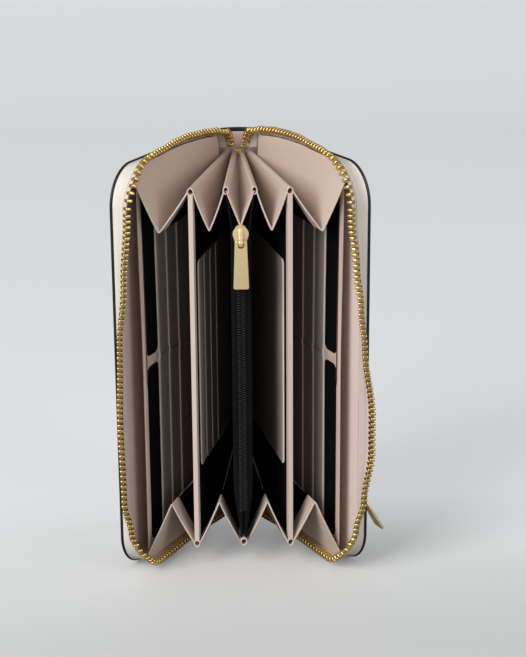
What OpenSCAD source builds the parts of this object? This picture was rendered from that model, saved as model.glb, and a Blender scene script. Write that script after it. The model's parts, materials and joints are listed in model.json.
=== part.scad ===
// A zip-around long wallet, standing on its short end and fanned open.
// X runs across the fan, +Y is the spine side and Z is up. The origin is at the
// middle of the spine's foot. Lengths are in millimetres.

/* [Covers] */
// Height of the wallet as it stands on its short end
cover_h = 195; // [180:1:210]
// Length of each flat cover, from the spine fold to the front edge
cover_len = 86; // [84:0.5:92]
// Radius of each cover's two front corners
corner_r = 18; // [14:0.5:22]
// Angle of each cover from the middle plane as the wallet stands open
cover_open = 28; // [27:0.5:34]
// Outer radius of the bent spine
spine_r = 20; // [19.5:0.25:22]
// Thickness of the outer leather
leather_t = 1.2; // [0.9:0.05:1.4]
// Thickness of the stiffening board
board_t = 0.7; // [0.5:0.05:0.8]
// Thickness of the leather lining
lining_t = 0.5; // [0.3:0.05:0.6]

/* [Zip band] */
// How far the side band's seam lies inside the cover's edge
band_inset = 2.6; // [2:0.1:3.5]
// Width of the cream side band
band_w = 7.6; // [6.5:0.1:8]
// Thickness of the side band
band_t = 1.2; // [0.8:0.05:1.4]
// Width of zip tape that shows past the band
tape_w = 2.2; // [1.6:0.1:2.4]
// Thickness of the zip tape
tape_t = 0.6; // [0.4:0.05:0.8]
// Pitch of the metal teeth along one chain
tooth_pitch = 2.5; // [2.5:0.05:3.4]
// Width of a tooth, across the chain
tooth_w = 3; // [2.4:0.1:3.2]
// Length of a tooth, along the chain
tooth_l = 1.05; // [1:0.05:1.6]
// Thickness of a tooth
tooth_t = 2.4; // [1.8:0.1:2.8]

/* [Leaves] */
// Angle of each card leaf from the middle plane
leaf_open = 24.5; // [23.5:0.25:25]
// Length of a leaf from its rear edge to its front edge
leaf_len = 83.5; // [80:0.5:85]
// Distance of a leaf's foot above the wallet's foot
leaf_foot = 9.5; // [8:0.25:11]
// Thickness of a leaf's panel
leaf_t = 0.9; // [0.6:0.05:1]
// Thickness of one layer of card slots on a leaf
leaf_slot_t = 0.7; // [0.4:0.05:0.75]
// Distance from a leaf's front edge to its first slot edge
leaf_slot_lead = 14; // [11:0.5:17]
// Step from one slot edge to the next on a leaf
leaf_slot_step = 9.5; // [7:0.5:11]

/* [Dividers] */
// Angle of each divider from the middle plane
divider_open = 12.3; // [11.5:0.1:13]
// Length of a divider from its rear edge to its front edge
divider_len = 80.5; // [78:0.5:82]
// Distance of a divider's foot above the wallet's foot
divider_foot = 12.5; // [11.5:0.25:15]
// Thickness of a divider
divider_t = 1.4; // [1:0.1:1.5]
// Half the distance between the two dividers at the spine
divider_rear = 5; // [4.8:0.1:5.4]
// Thickness of one layer of card slots on the left divider
divider_slot_t = 0.45; // [0.3:0.05:0.5]
// Height of the card slots and of the slip pocket on the dividers
pocket_h = 100; // [88:1:104]
// Distance from a divider's front edge to its first pocket edge
divider_slot_lead = 8; // [6:0.5:12]
// Step from one slot edge to the next on the left divider
divider_slot_step = 10.5; // [8:0.5:12]
// Thickness of the slip pocket on the right divider
slip_t = 0.7; // [0.4:0.05:0.9]

/* [Gussets] */
// Depth of the folded V at the top of each compartment
fold_top = 19; // [15:0.5:22]
// Depth of the folded V at the foot of each compartment
fold_foot = 21; // [18:0.5:26]
// Thickness of the gusset leather
gusset_t = 0.7; // [0.5:0.05:0.8]

/* [Coin pouch] */
// Half width of the pouch's front, across its zip
pouch_half = 4.3; // [3.9:0.1:4.5]
// Half width of the pouch's flared top end
pouch_flare = 6.6; // [6:0.1:7]
// Thickness of a pouch wall
pouch_t = 0.8; // [0.5:0.05:1]
// Width of the coil of the pouch's zip
coil_w = 3.4; // [2.6:0.1:3.6]
// Height of the coil of the pouch's zip
coil_t = 0.9; // [0.6:0.05:1]
// Distance from the pouch's top down to its slider's pivot
pouch_slider_drop = 3.2; // [2.2:0.1:8]

/* [Sliders and pulls] */
// Length of a slider's body
slider_l = 8.4; // [7:0.1:9]
// Width of a slider's body
slider_w = 5.4; // [4.9:0.1:5.8]
// Width of the slider plate that faces out, with the pull on it
slider_face_w = 7.2; // [6:0.1:7.4]
// Thickness of each slider plate
plate_t = 0.8; // [0.6:0.05:0.9]
// Gap between a slider's two plates
plate_gap = 2.2; // [2:0.05:2.3]
// Radius of the pivot bar in a pull's eye
pin_r = 0.6; // [0.4:0.05:0.7]
// Clearance round the pivot bar
pin_gap = 0.25; // [0.15:0.05:0.3]
// Distance from the pivot bar to the tip of a pull
pull_len = 21.5; // [19:0.5:26]
// Width of a pull at its tip
pull_tip_w = 7; // [6.2:0.1:9]
// Width of a pull at its eye
pull_eye_w = 5.6; // [5:0.1:6.9]
// Thickness of a pull
pull_t = 1.2; // [0.8:0.05:1.3]
// Size of the main slider, as a multiple of the small ones
main_scale = 1.15; // [1:0.05:1.2]

/* [Back pocket] */
// Distance from the right cover's front edge to the back pocket's zip
back_zip_in = 10; // [9.5:0.25:13]
// Width of the back pocket's zip opening
back_zip_w = 6; // [5:0.1:6.6]
// Distance from the wallet's top and foot to the ends of the back pocket's zip
back_zip_end = 22.5; // [18.5:0.5:36]
// Distance from the foot end of the back pocket's zip up to its slider's pivot
back_slider_rise = 10.5; // [8.5:0.5:21]
// Angle at which the back pull stands off the cover
back_pull_lean = 30; // [20:1:45]

/* [Hidden] */

$fn = 48;
leather_colour = "#ded0c4";
lining_colour = "#bfa79c";
fabric_colour = "#17161a";
gold_colour = "#c8a24a";
board_colour = "#9a8f84";
tape_colour = "#e6dccb";

overrun = 1;
seat_gap = 0.3;
mid_z = cover_h / 2;

// The spine bends round a centre that lies spine_r in front of its back.
fold_x = spine_r * cos(cover_open);
fold_y = spine_r - spine_r * sin(cover_open);
inside_r = spine_r - leather_t - lining_t;
lining_inset = 2;
board_inset = band_inset + band_t + seat_gap;

// The black strip across the spine, to which the dividers' rear edges are sewn.
strip_t = 0.8;
strip_gap = 0.35;
strip_half = 8.4;
strip_back = spine_r - sqrt(inside_r * inside_r - strip_half * strip_half) + strip_gap;
strip_front = strip_back + strip_t;

// Rear ends of the leaves, just inside the spine's lining.
leaf_rear_gap = 0.5;
leaf_rear_x = strip_half + 2.4 * leaf_t + seat_gap;
leaf_rear_y = spine_r - sqrt(pow(inside_r - leaf_rear_gap, 2) - leaf_rear_x * leaf_rear_x);
leaf_top = cover_h - leaf_foot;
slot_margin = 2;
slot_rear = 8;

// Rear ends of the dividers, in front of the strip.
divider_rear_gap = 0.55;
divider_rear_y = strip_front + divider_rear_gap;
pocket_rise = 2;
pocket_foot = mid_z + pocket_rise - pocket_h / 2;

// The gussets' ridges stand level with the dividers' ends.
foot_lift = 1.5;
ridge_top = cover_h - divider_foot + gusset_t;
ridge_foot = divider_foot + foot_lift - gusset_t;
ridge_side = divider_t / 2 + seat_gap;
gusset_steps = 8;
gusset_tuck = band_t / 2 + 2 * seat_gap;
top_fold_share = 0.56;
foot_fold_share = 0.46;
inner_fold_share = 0.5;

// The pouch's front stands a little behind its zip, which the slider straddles.
pouch_rear = 1.7;
pouch_rear_y = strip_front + seat_gap;
pouch_zip_y = 84.2;
pouch_front_y = pouch_zip_y - plate_gap / 2 - plate_t - seat_gap;
pouch_top = ridge_top - fold_top;
pouch_lift = 0.5;
pouch_foot = divider_foot + foot_lift + pouch_lift;
pouch_slider_z = pouch_top - pouch_slider_drop;
pouch_taper = 30;
pouch_foot_half = 1.3;
pouch_tape_t = 0.6;
pouch_steps = 12;
flare_start_share = 0.1;

// Sizes on a slider and a pull.
slider_half = plate_gap / 2 + plate_t;
crown_wall = 1.05;
crown_r = pin_r + pin_gap + crown_wall;
crown_w = 1.8;
pin_out = slider_half + crown_r - seat_gap;
pin_in = 1.2;
pin_up = pin_in - slider_l / 2;
rib_gap = 0.1;
rib_out = pin_out - pull_t / 2 - rib_gap;
rib_end = 1;
rib_l = slider_l - pin_in - rib_end;
eye_half = crown_w / 2 + seat_gap;
eye_drop = crown_r + 2 * seat_gap;
neck_w = 1.6;
neck_l = 1.3;
lip_w = 0.5;
lip_t = 0.7;
split_w = neck_w + 2 * seat_gap;
split_start = slider_l / 2 - neck_l - 2 * seat_gap;

// Layers behind the right cover's leather.
back_tape_t = 0.4;
bag_t = 0.3;
back_coil_t = 0.8;
back_zip_l = cover_h - 2 * back_zip_end;
back_slider_z = back_zip_end + back_slider_rise;
back_zip_x = cover_len - back_zip_in;
back_seam = 1.5;
back_slider_y = 0.6;
bag_rear = 6;

// Lengths along the zip's path round a cover: two straight runs, two corners and the front.
run_len = cover_len - corner_r;
rim_r = corner_r - band_inset;
rim_arc = rim_r * PI / 2;
rim_front = cover_h - 2 * corner_r;
rim_total = 2 * run_len + 2 * rim_arc + rim_front;
rim_steps = 96;
tooth_lead_share = 0.2;
chain_w = band_w + tape_w + tooth_lead_share * tooth_w;

// Where the two chains meet, inside the top and the foot of the spine.
top_end_drop = 7.5;
foot_end_rise = 9.3;
end_y = 12;
main_slider_y = end_y + tooth_t + 2 * seat_gap + main_scale * slider_l / 2;
end_half = 0.9;
end_gap = 0.6;
end_reach = 4;
end_steps = 6;
end_teeth = 4;
stop_w = 3.4;
stop_l = 2.4;
stop_t = 2.2;

// How far the band leans out of square, in degrees, at shares of the path's length.
left_lean_shares = [
    [0, 18], [0.03, 30], [0.06, 36], [0.1, 40], [0.13, 39], [0.17, 34], [0.2, 31],
    [0.235, 26], [0.27, 34], [0.36, 46], [0.45, 60], [0.55, 64], [0.67, 61], [0.715, 46],
    [0.765, 8], [0.8, -4], [0.9, -4], [0.975, 5], [1, 5]
];
right_lean_shares = [
    [0, 21], [0.03, 33], [0.06, 40], [0.09, 43], [0.12, 43], [0.15, 38.5],
    [0.175, 36], [0.2, 30], [0.22, 26], [0.28, 27], [0.34, 40], [0.4, 52], [0.45, 61],
    [0.55, 80], [0.6, 80], [0.67, 64], [0.715, 46], [0.765, 8], [0.8, -4], [0.9, -4],
    [0.975, 5], [1, 5]
];

function mix(a, b, t) = a + (b - a) * t;
function ease(t) = t * t * (3 - 2 * t);
function unit(v) = v / norm(v);

// The value that a list of [share, value] rows gives at share s.
function read_shares(rows, s, i = 0) =
    i >= len(rows) - 2 || s <= rows[i + 1][0]
        ? mix(rows[i][1], rows[i + 1][1], ease((s - rows[i][0]) / (rows[i + 1][0] - rows[i][0])))
        : read_shares(rows, s, i + 1);

// A corner of the zip's path: t runs from the top or foot run (0) to the front run (1).
function rim_corner(t, z, up) =
    [run_len + rim_r * sin(90 * t), z + up * rim_r * cos(90 * t), sin(90 * t), up * cos(90 * t)];

// The zip's path at length s, as [forward, height, outward forward, outward height].
function rim_at(s) =
    s < run_len ? [s, cover_h - band_inset, 0, 1]
    : s < run_len + rim_arc ? rim_corner((s - run_len) / rim_arc, cover_h - corner_r, 1)
    : s < run_len + rim_arc + rim_front
        ? [cover_len - band_inset, cover_h - corner_r - (s - run_len - rim_arc), 1, 0]
    : s < run_len + 2 * rim_arc + rim_front
        ? rim_corner(1 - (s - run_len - rim_arc - rim_front) / rim_arc, corner_r, -1)
    : [rim_total - s, band_inset, 0, -1];

function lean_at(side, s) = read_shares(side < 0 ? left_lean_shares : right_lean_shares, s / rim_total);
// The direction across the band, from its seam to the teeth, and the direction through it.
function across(r, a) = [r[2] * sin(a), -cos(a), r[3] * sin(a)];
function through(r, a) = [r[2] * cos(a), sin(a), r[3] * cos(a)];
// A point of the band or the zip in the cover's frame, at length s, width w and depth d.
function rim_point(side, s, w, d) =
    let (r = rim_at(s), a = lean_at(side, s))
        [r[0], -leather_t - band_t / 2, r[1]] + across(r, a) * w + through(r, a) * d;

// A point of the right cover's or right divider's frame, in the part's frame.
function turned(p, origin, open) = [
    origin[0] + p[0] * sin(open) + p[1] * cos(open),
    origin[1] - p[0] * cos(open) + p[1] * sin(open),
    p[2]
];
function from_cover(p) = turned(p, [fold_x, -fold_y], cover_open);
function from_divider(p) = turned(p, [divider_rear, -divider_rear_y], divider_open);

// These frames have x forward along the panel, y out of the wallet and z up.
module on_side(side) {
    if (side < 0)
        mirror([1, 0, 0]) children();
    else
        children();
}

module on_cover(side) {
    on_side(side)
        translate([fold_x, -fold_y, 0]) rotate([0, 0, cover_open - 90]) children();
}

module on_leaf(side) {
    on_side(side)
        translate([leaf_rear_x, -leaf_rear_y, 0]) rotate([0, 0, leaf_open - 90]) children();
}

module on_divider(side) {
    on_side(side)
        translate([divider_rear, -divider_rear_y, 0]) rotate([0, 0, divider_open - 90]) children();
}

// An upright panel of thickness t, drawn in x and z, with its outer face at y = -from.
module upright(from, t) {
    translate([0, -from, 0]) rotate([90, 0, 0]) linear_extrude(t) children();
}

// A closed sheet between two grids of points that face each other.
function grid_at(g, i, j, n, k) = (g * n + i) * k + j;

module sheet_solid(outer, inner) {
    n = len(outer);
    k = len(outer[0]);
    points = [for (g = [outer, inner]) for (row = g) for (p = row) p];
    skins = [
        for (g = [0, 1]) for (i = [0 : n - 2]) for (j = [0 : k - 2])
            for (f = [[[0, 0], [0, 1], [1, 1]], [[0, 0], [1, 1], [1, 0]]])
                let (q = [for (c = f) grid_at(g, i + c[0], j + c[1], n, k)])
                    g == 0 ? q : [q[2], q[1], q[0]]
    ];
    edges = [
        for (j = [0, k - 1]) for (i = [0 : n - 2])
            let (
                a = grid_at(0, i, j, n, k), b = grid_at(0, i + 1, j, n, k),
                c = grid_at(1, i + 1, j, n, k), d = grid_at(1, i, j, n, k)
            )
                for (q = [[a, b, c], [a, c, d]])
                    j == 0 ? q : [q[2], q[1], q[0]]
    ];
    ends = [
        for (i = [0, n - 1]) for (j = [0 : k - 2])
            let (
                a = grid_at(0, i, j, n, k), b = grid_at(0, i, j + 1, n, k),
                c = grid_at(1, i, j + 1, n, k), d = grid_at(1, i, j, n, k)
            )
                for (q = [[a, c, b], [a, d, c]])
                    i == 0 ? q : [q[2], q[1], q[0]]
    ];
    polyhedron(points, concat(skins, edges, ends));
}

// Covers

module cover_outline(inset) {
    r = corner_r - inset;
    l = cover_len - inset;
    translate([inset, inset]) square([run_len - inset, cover_h - 2 * inset]);
    translate([inset, corner_r]) square([l - inset, cover_h - 2 * corner_r]);
    translate([run_len, corner_r]) circle(r);
    translate([run_len, cover_h - corner_r]) circle(r);
}

// The opening for the back pocket's zip, widened by m on every side.
module back_window(m) {
    translate([back_zip_x - back_zip_w / 2 - m, back_zip_end - m])
        square([back_zip_w + 2 * m, back_zip_l + 2 * m]);
}

function bag_stack(side) = side > 0 ? back_tape_t + bag_t : 0;

module outer_leather(side) {
    color(leather_colour)
        on_cover(side)
            upright(0, leather_t)
                difference() {
                    cover_outline(0);
                    if (side > 0)
                        back_window(0);
                }
}

module board(side) {
    color(board_colour)
        on_cover(side)
            upright(leather_t + bag_stack(side), board_t)
                difference() {
                    cover_outline(board_inset);
                    if (side > 0)
                        back_window(0);
                }
}

module lining(side) {
    color(lining_colour)
        on_cover(side)
            upright(leather_t + bag_stack(side) + board_t, lining_t) cover_outline(board_inset);
}

module spine_shell(out_r, t, margin) {
    reach = 2 * spine_r;
    translate([0, -spine_r, margin])
        linear_extrude(cover_h - 2 * margin)
            intersection() {
                difference() {
                    circle(out_r);
                    circle(out_r - t);
                }
                polygon([
                    [0, 0],
                    [reach * cos(cover_open), reach * sin(cover_open)],
                    [reach * cos(cover_open), reach],
                    [-reach * cos(cover_open), reach],
                    [-reach * cos(cover_open), reach * sin(cover_open)]
                ]);
            }
}

module spine_leather() {
    color(leather_colour) spine_shell(spine_r, leather_t, 0);
}

module spine_lining() {
    color(lining_colour) spine_shell(spine_r - leather_t, lining_t, lining_inset);
}

module accordion_back() {
    color(fabric_colour)
        translate([-strip_half, -strip_front, divider_foot + foot_lift])
            cube([2 * strip_half, strip_t, cover_h - 2 * divider_foot - foot_lift]);
}

// Zip round three sides

module rim_sweep(side, w0, w1, t) {
    stations = [for (i = [0 : rim_steps]) rim_total * i / rim_steps];
    on_cover(side)
        sheet_solid(
            [for (s = stations) [for (w = [w0, w1]) rim_point(side, s, w, t / 2)]],
            [for (s = stations) [for (w = [w0, w1]) rim_point(side, s, w, -t / 2)]]
        );
}

module side_band(side) {
    color(leather_colour) rim_sweep(side, 0, band_w, band_t);
}

module zip_tape(side) {
    color(tape_colour) rim_sweep(side, band_w, band_w + tape_w, tape_t);
}

module tooth(p, along, over, out) {
    multmatrix([
        [along[0], over[0], out[0], p[0]],
        [along[1], over[1], out[1], p[1]],
        [along[2], over[2], out[2], p[2]],
        [0, 0, 0, 1]
    ])
        cube([tooth_l, tooth_w, tooth_t], center = true);
}

module zip_teeth(side) {
    count = floor(rim_total / tooth_pitch) - 1;
    color(gold_colour)
        on_cover(side)
            for (i = [0 : count - 1]) {
                s = (i + 0.5 + side / 4) * tooth_pitch;
                r = rim_at(s);
                a = lean_at(side, s);
                p = rim_point(side, s, chain_w + tooth_w / 2, 0);
                tooth(p, [r[3], 0, -r[2]], across(r, a), through(r, a));
            }
}

// The chains' ends run on past the cover and dip into the spine: t runs from 0 to 1.
function end_level(up) = up > 0 ? cover_h - top_end_drop : foot_end_rise;
function end_start(side, up, past, w) =
    from_cover(rim_point(side, up > 0 ? -past : rim_total + past, w, 0));
function end_point(side, up, t, w) =
    let (
        p = end_start(side, up, end_gap, w),
        c = end_start(side, up, end_reach, w),
        q = [end_half + chain_w + tooth_w - w, -end_y, end_level(up)]
    )
        mix(mix(p, c, t), mix(c, q, t), t);

// The directions along the chain's end, across it and through it.
function end_along(side, up, t, w) =
    let (dt = 0.5 / end_teeth)
        unit(end_point(side, up, t + dt, w) - end_point(side, up, t - dt, w));
function end_over(side, up, t, w) =
    let (
        along = end_along(side, up, t, w),
        aim = end_point(side, up, t, w + 1) - end_point(side, up, t, w - 1)
    )
        unit(aim - along * (aim * along));
function end_through(side, up, t, w) =
    cross(end_along(side, up, t, w), end_over(side, up, t, w));

function end_face(side, up, d) = [
    for (i = [0 : end_steps])
        let (t = i / end_steps)
            [
                for (w = [band_w - tape_w, band_w + tape_w])
                    end_point(side, up, t, w) + end_through(side, up, t, w) * d
            ]
];

module end_tape(side, up) {
    sheet_solid(end_face(side, up, tape_t / 2), end_face(side, up, -tape_t / 2));
}

module zip_end_tapes() {
    color(tape_colour)
        for (side = [-1, 1], up = [-1, 1])
            on_side(side) end_tape(side, up);
}

module zip_end_teeth() {
    color(gold_colour)
        for (side = [-1, 1], up = [-1, 1], i = [0 : end_teeth - 1]) {
            t = (i + 0.6 + side * 0.2) / end_teeth;
            w = chain_w + tooth_w / 2;
            on_side(side)
                tooth(
                    end_point(side, up, t, w), end_along(side, up, t, w),
                    end_over(side, up, t, w), end_through(side, up, t, w)
                );
        }
}

module zip_top_stop() {
    color(gold_colour)
        translate([-stop_w / 2, -end_y - stop_t / 2, end_level(1) - tooth_l / 2 - seat_gap - stop_l])
            cube([stop_w, stop_t, stop_l]);
}

// Sliders and pulls

// A slider straddles its tape at y = 0 and faces -y; it closes its zip by moving up.
// Its crown holds the pull near its open end, and a low rib runs up its face from there.
module slider_outline(w) {
    translate([-w / 2, -slider_l / 2]) square([w, slider_l - w / 2]);
    translate([0, slider_l / 2 - w / 2]) circle(w / 2);
}

module slider() {
    color(gold_colour) {
        upright(plate_gap / 2, plate_t) slider_outline(slider_face_w);
        upright(-plate_gap / 2 - plate_t, plate_t) slider_outline(slider_w);
        translate([-neck_w / 2, -plate_gap / 2 - plate_t / 2, slider_l / 2 - neck_l - seat_gap])
            cube([neck_w, plate_gap + plate_t, neck_l]);
        for (x = [-slider_w / 2, slider_w / 2 - lip_w])
            translate([x, -plate_gap / 2 - plate_t / 2, -slider_l / 2])
                cube([lip_w, lip_t + plate_t / 2, slider_l / 2]);
        difference() {
            union() {
                translate([-crown_w / 2, -pin_out, pin_up - crown_r])
                    cube([crown_w, pin_out - plate_gap / 2 - plate_t / 2, 2 * crown_r]);
                translate([-crown_w / 2, -pin_out, pin_up]) rotate([0, 90, 0]) cylinder(r = crown_r, h = crown_w);
                translate([-crown_w / 2, -rib_out, pin_up])
                    cube([crown_w, rib_out - plate_gap / 2 - plate_t / 2, rib_l]);
            }
            translate([-crown_w / 2 - overrun, -pin_out, pin_up])
                rotate([0, 90, 0]) cylinder(r = pin_r + pin_gap, h = crown_w + 2 * overrun);
        }
    }
}

// A pull hangs from its pivot bar at the origin, in the plane y = 0.
module pull() {
    arm_top = pin_r + pin_gap;
    color(gold_colour) {
        translate([0, pull_t / 2, 0]) rotate([90, 0, 0])
            linear_extrude(pull_t)
                difference() {
                    polygon([
                        [-pull_eye_w / 2, arm_top], [pull_eye_w / 2, arm_top],
                        [pull_tip_w / 2, -pull_len], [-pull_tip_w / 2, -pull_len]
                    ]);
                    translate([-eye_half, -eye_drop]) square([2 * eye_half, eye_drop + arm_top + overrun]);
                }
        translate([-eye_half - pin_gap, 0, 0]) rotate([0, 90, 0]) cylinder(r = pin_r, h = 2 * (eye_half + pin_gap));
    }
}

module at_pouch_slider() {
    translate([0, -pouch_zip_y, pouch_slider_z - pin_up]) children();
}

module pouch_slider() {
    at_pouch_slider() slider();
}

module pouch_pull() {
    at_pouch_slider() translate([0, -pin_out, pin_up]) pull();
}

// The main slider lies flat at the foot, with its face down and its pull level and forward.
module at_main_slider() {
    translate([0, -main_slider_y, end_level(-1)]) rotate([90, 0, 0]) scale(main_scale) children();
}

module main_slider() {
    at_main_slider() slider();
}

module main_pull() {
    at_main_slider() translate([0, -pin_out, pin_up]) rotate([180, 0, 0]) pull();
}

// The back slider closes its zip by moving down.
module at_back_slider() {
    on_cover(1)
        translate([back_zip_x, -back_slider_y, back_slider_z + pin_up]) rotate([0, 0, 180]) children();
}

module back_slider() {
    at_back_slider() mirror([0, 0, 1]) slider();
}

module back_pull() {
    at_back_slider() translate([0, -pin_out, -pin_up]) rotate([-back_pull_lean, 0, 0]) pull();
}

// Leaves and dividers

module leaf_panel(side) {
    color(lining_colour)
        on_leaf(side)
            translate([0, -leaf_t, leaf_foot]) cube([leaf_len, leaf_t, leaf_top - leaf_foot]);
}

module leaf_slot(side, n) {
    color(lining_colour)
        on_leaf(side)
            translate([slot_rear, -leaf_t - n * leaf_slot_t, leaf_foot + slot_margin])
                cube([
                    leaf_len - leaf_slot_lead - (n - 1) * leaf_slot_step - slot_rear,
                    leaf_slot_t,
                    leaf_top - leaf_foot - 2 * slot_margin
                ]);
}

module divider_panel(side) {
    color(lining_colour)
        on_divider(side)
            translate([0, -divider_t / 2, divider_foot + foot_lift])
                cube([divider_len, divider_t, cover_h - 2 * divider_foot - foot_lift]);
}

module divider_pocket(side, n, t) {
    color(lining_colour)
        on_divider(side)
            translate([slot_rear, -divider_t / 2 - n * t, pocket_foot])
                cube([
                    divider_len - divider_slot_lead - (n - 1) * divider_slot_step - slot_rear,
                    t,
                    pocket_h
                ]);
}

// Coin pouch

function pouch_front_half(z) =
    mix(pouch_foot_half, pouch_half, ease(min(1, (z - pouch_foot) / pouch_taper)));

module pouch_wall(side) {
    heights = [for (i = [0 : pouch_steps]) mix(pouch_foot, pouch_top, pow(i / pouch_steps, 2))];
    color(fabric_colour)
        on_side(side)
            sheet_solid(
                [for (z = heights) [[pouch_rear, -pouch_rear_y, z], [pouch_front_half(z), -pouch_front_y, z]]],
                [for (z = heights) [
                    [pouch_rear - pouch_t, -pouch_rear_y, z], [pouch_front_half(z) - pouch_t, -pouch_front_y, z]
                ]]
            );
}

// A cross-section of the zip's tape: flat in front, with its edges turned back to the walls.
function pouch_tape_row(z, inset) =
    let (h = pouch_front_half(z) - inset, y = pouch_zip_y - inset)
        [[-h, -pouch_front_y - seat_gap, z], [-h, -y, z], [h, -y, z], [h, -pouch_front_y - seat_gap, z]];

module pouch_zip_tape() {
    heights = [for (i = [0 : pouch_steps]) mix(pouch_foot, pouch_top, pow(i / pouch_steps, 2))];
    color(fabric_colour)
        difference() {
            sheet_solid(
                [for (z = heights) pouch_tape_row(z, 0)],
                [for (z = heights) pouch_tape_row(z, pouch_tape_t)]
            );
            translate([-split_w / 2, -pouch_zip_y - overrun, pouch_slider_z - pin_up + split_start])
                cube([split_w, 2 * overrun + pouch_tape_t, slider_l]);
        }
}

module pouch_zip_coil() {
    coil_top = pouch_slider_z - pin_up - seat_gap;
    color(fabric_colour)
        translate([-coil_w / 2, -pouch_zip_y - coil_t, pouch_foot + pouch_taper / 2])
            cube([coil_w, coil_t, coil_top - pouch_foot - pouch_taper / 2]);
}

module pouch_foot_end() {
    color(lining_colour)
        translate([-pouch_foot_half, -pouch_front_y, pouch_foot - seat_gap - gusset_t])
            cube([2 * pouch_foot_half, pouch_front_y - pouch_rear_y, gusset_t]);
}

// Gussets

// A V-folded strip through rows of [ridge, fold, ridge] points, thickened towards up.
function side_normal(a, b, up) =
    let (n = unit([a[2] - b[2], 0, b[0] - a[0]])) n * (n[2] * up < 0 ? -1 : 1);

function raised(row, up, t) =
    let (n1 = side_normal(row[0], row[1], up), n2 = side_normal(row[1], row[2], up))
        [row[0] + n1 * t, row[1] + (n1 + n2) / (1 + n1 * n2) * t, row[2] + n2 * t];

module fold_strip(rows, up) {
    raised_rows = [for (row = rows) raised(row, up, gusset_t)];
    if (up > 0)
        sheet_solid(rows, raised_rows);
    else
        sheet_solid(raised_rows, rows);
}

function level(up, drop) = up > 0 ? ridge_top - drop : ridge_foot + drop;
function fold_drop(up) = up > 0 ? fold_top : fold_foot;

// Places at share f of the way from the spine to the front.
function divider_ridge(f, side_y, up) = from_divider([divider_len * f, side_y, level(up, 0)]);
function zip_ridge(side, f, up) =
    let (s = mix(lining_inset, run_len + rim_arc / 2, f))
        from_cover(rim_point(side, up > 0 ? s : rim_total - s, band_w, -gusset_tuck));
function pouch_ridge(f, up) = [
    mix(pouch_rear, up > 0 ? pouch_flare : pouch_foot_half, f) + seat_gap,
    -mix(pouch_rear_y, pouch_front_y, f),
    level(up, 0)
];
function fold_between(a, c, up, share) =
    let (p = mix(a, c, share)) [p[0], p[1], level(up, fold_drop(up))];

function fold_share(outside, up) =
    outside ? (up > 0 ? top_fold_share : foot_fold_share) : inner_fold_share;

// The outer gussets join a divider to the zip's tape, and the inner ones to the pouch.
module gusset(side, outside, up) {
    shares = [for (i = [0 : gusset_steps]) i / gusset_steps];
    rows = [
        for (f = shares)
            let (
                a = outside ? divider_ridge(f, ridge_side, up) : pouch_ridge(f, up),
                c = outside ? zip_ridge(side, f, up) : divider_ridge(f, -ridge_side, up)
            )
                [a, fold_between(a, c, up, fold_share(outside, up)), c]
    ];
    color(leather_colour) on_side(side) fold_strip(rows, up);
}

// The flared top of the pouch: two wall ends and the V between them, which deepens forward.
module pouch_top_end() {
    shares = [for (i = [0 : gusset_steps]) i / gusset_steps];
    inner = pouch_t + seat_gap;
    color(leather_colour) {
        for (side = [-1, 1])
            on_side(side)
                sheet_solid(
                    [for (f = shares) let (p = pouch_ridge(f, 1)) [
                        [mix(pouch_rear, pouch_half, f), p[1], pouch_top + seat_gap], p - [seat_gap, 0, 0]
                    ]],
                    [for (f = shares) let (p = pouch_ridge(f, 1)) [
                        [mix(pouch_rear, pouch_half, f) - pouch_t, p[1], pouch_top + seat_gap], p - [inner, 0, 0]
                    ]]
                );
        fold_strip(
            [
                for (i = [0 : gusset_steps])
                    let (
                        f = mix(flare_start_share, 1, i / gusset_steps),
                        p = pouch_ridge(f, 1),
                        x = p[0] - inner - gusset_t,
                        z = p[2] - (fold_top - seat_gap - 2 * gusset_t) * f
                    )
                        [[-x, p[1], p[2]], [0, p[1], z], [x, p[1], p[2]]]
            ],
            1
        );
    }
}

// Back pocket

module back_pocket_bag() {
    color(fabric_colour)
        on_cover(1)
            upright(leather_t + back_tape_t, bag_t)
                difference() {
                    translate([bag_rear, back_zip_end - back_seam])
                        square([
                            back_zip_x + back_zip_w / 2 + back_seam - bag_rear,
                            back_zip_l + 2 * back_seam
                        ]);
                    back_window(0);
                }
}

module back_zip_tape() {
    color(fabric_colour)
        on_cover(1)
            upright(leather_t, back_tape_t)
                difference() {
                    back_window(back_seam);
                    translate([back_zip_x - split_w / 2, back_zip_end])
                        square([split_w, back_slider_z + pin_up - back_zip_end]);
                }
}

module back_zip_coil() {
    foot = back_slider_z + pin_up + slider_l / 2 + seat_gap;
    color(gold_colour)
        on_cover(1)
            translate([back_zip_x - coil_w / 2, -leather_t, foot])
                cube([coil_w, back_coil_t, back_zip_end + back_zip_l - foot]);
}

spine_leather();
spine_lining();
accordion_back();
pouch_wall(-1);  // pouch_wall_left
pouch_wall(1);  // pouch_wall_right
pouch_top_end();
pouch_foot_end();
pouch_zip_tape();
pouch_zip_coil();
pouch_slider();
pouch_pull();
outer_leather(-1);  // left_outer_leather
board(-1);  // left_board
lining(-1);  // left_lining
side_band(-1);  // left_side_band
zip_tape(-1);  // left_zip_tape
zip_teeth(-1);  // left_zip_teeth
outer_leather(1);  // right_outer_leather
board(1);  // right_board
lining(1);  // right_lining
side_band(1);  // right_side_band
zip_tape(1);  // right_zip_tape
zip_teeth(1);  // right_zip_teeth
zip_end_tapes();
zip_end_teeth();
zip_top_stop();
main_slider();
main_pull();
leaf_panel(-1);  // left_leaf_panel
leaf_slot(-1, 1);  // left_card_slot_1
leaf_slot(-1, 2);  // left_card_slot_2
leaf_slot(-1, 3);  // left_card_slot_3
leaf_panel(1);  // right_leaf_panel
leaf_slot(1, 1);  // right_card_slot_1
leaf_slot(1, 2);  // right_card_slot_2
leaf_slot(1, 3);  // right_card_slot_3
divider_panel(-1);  // left_divider_panel
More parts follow.
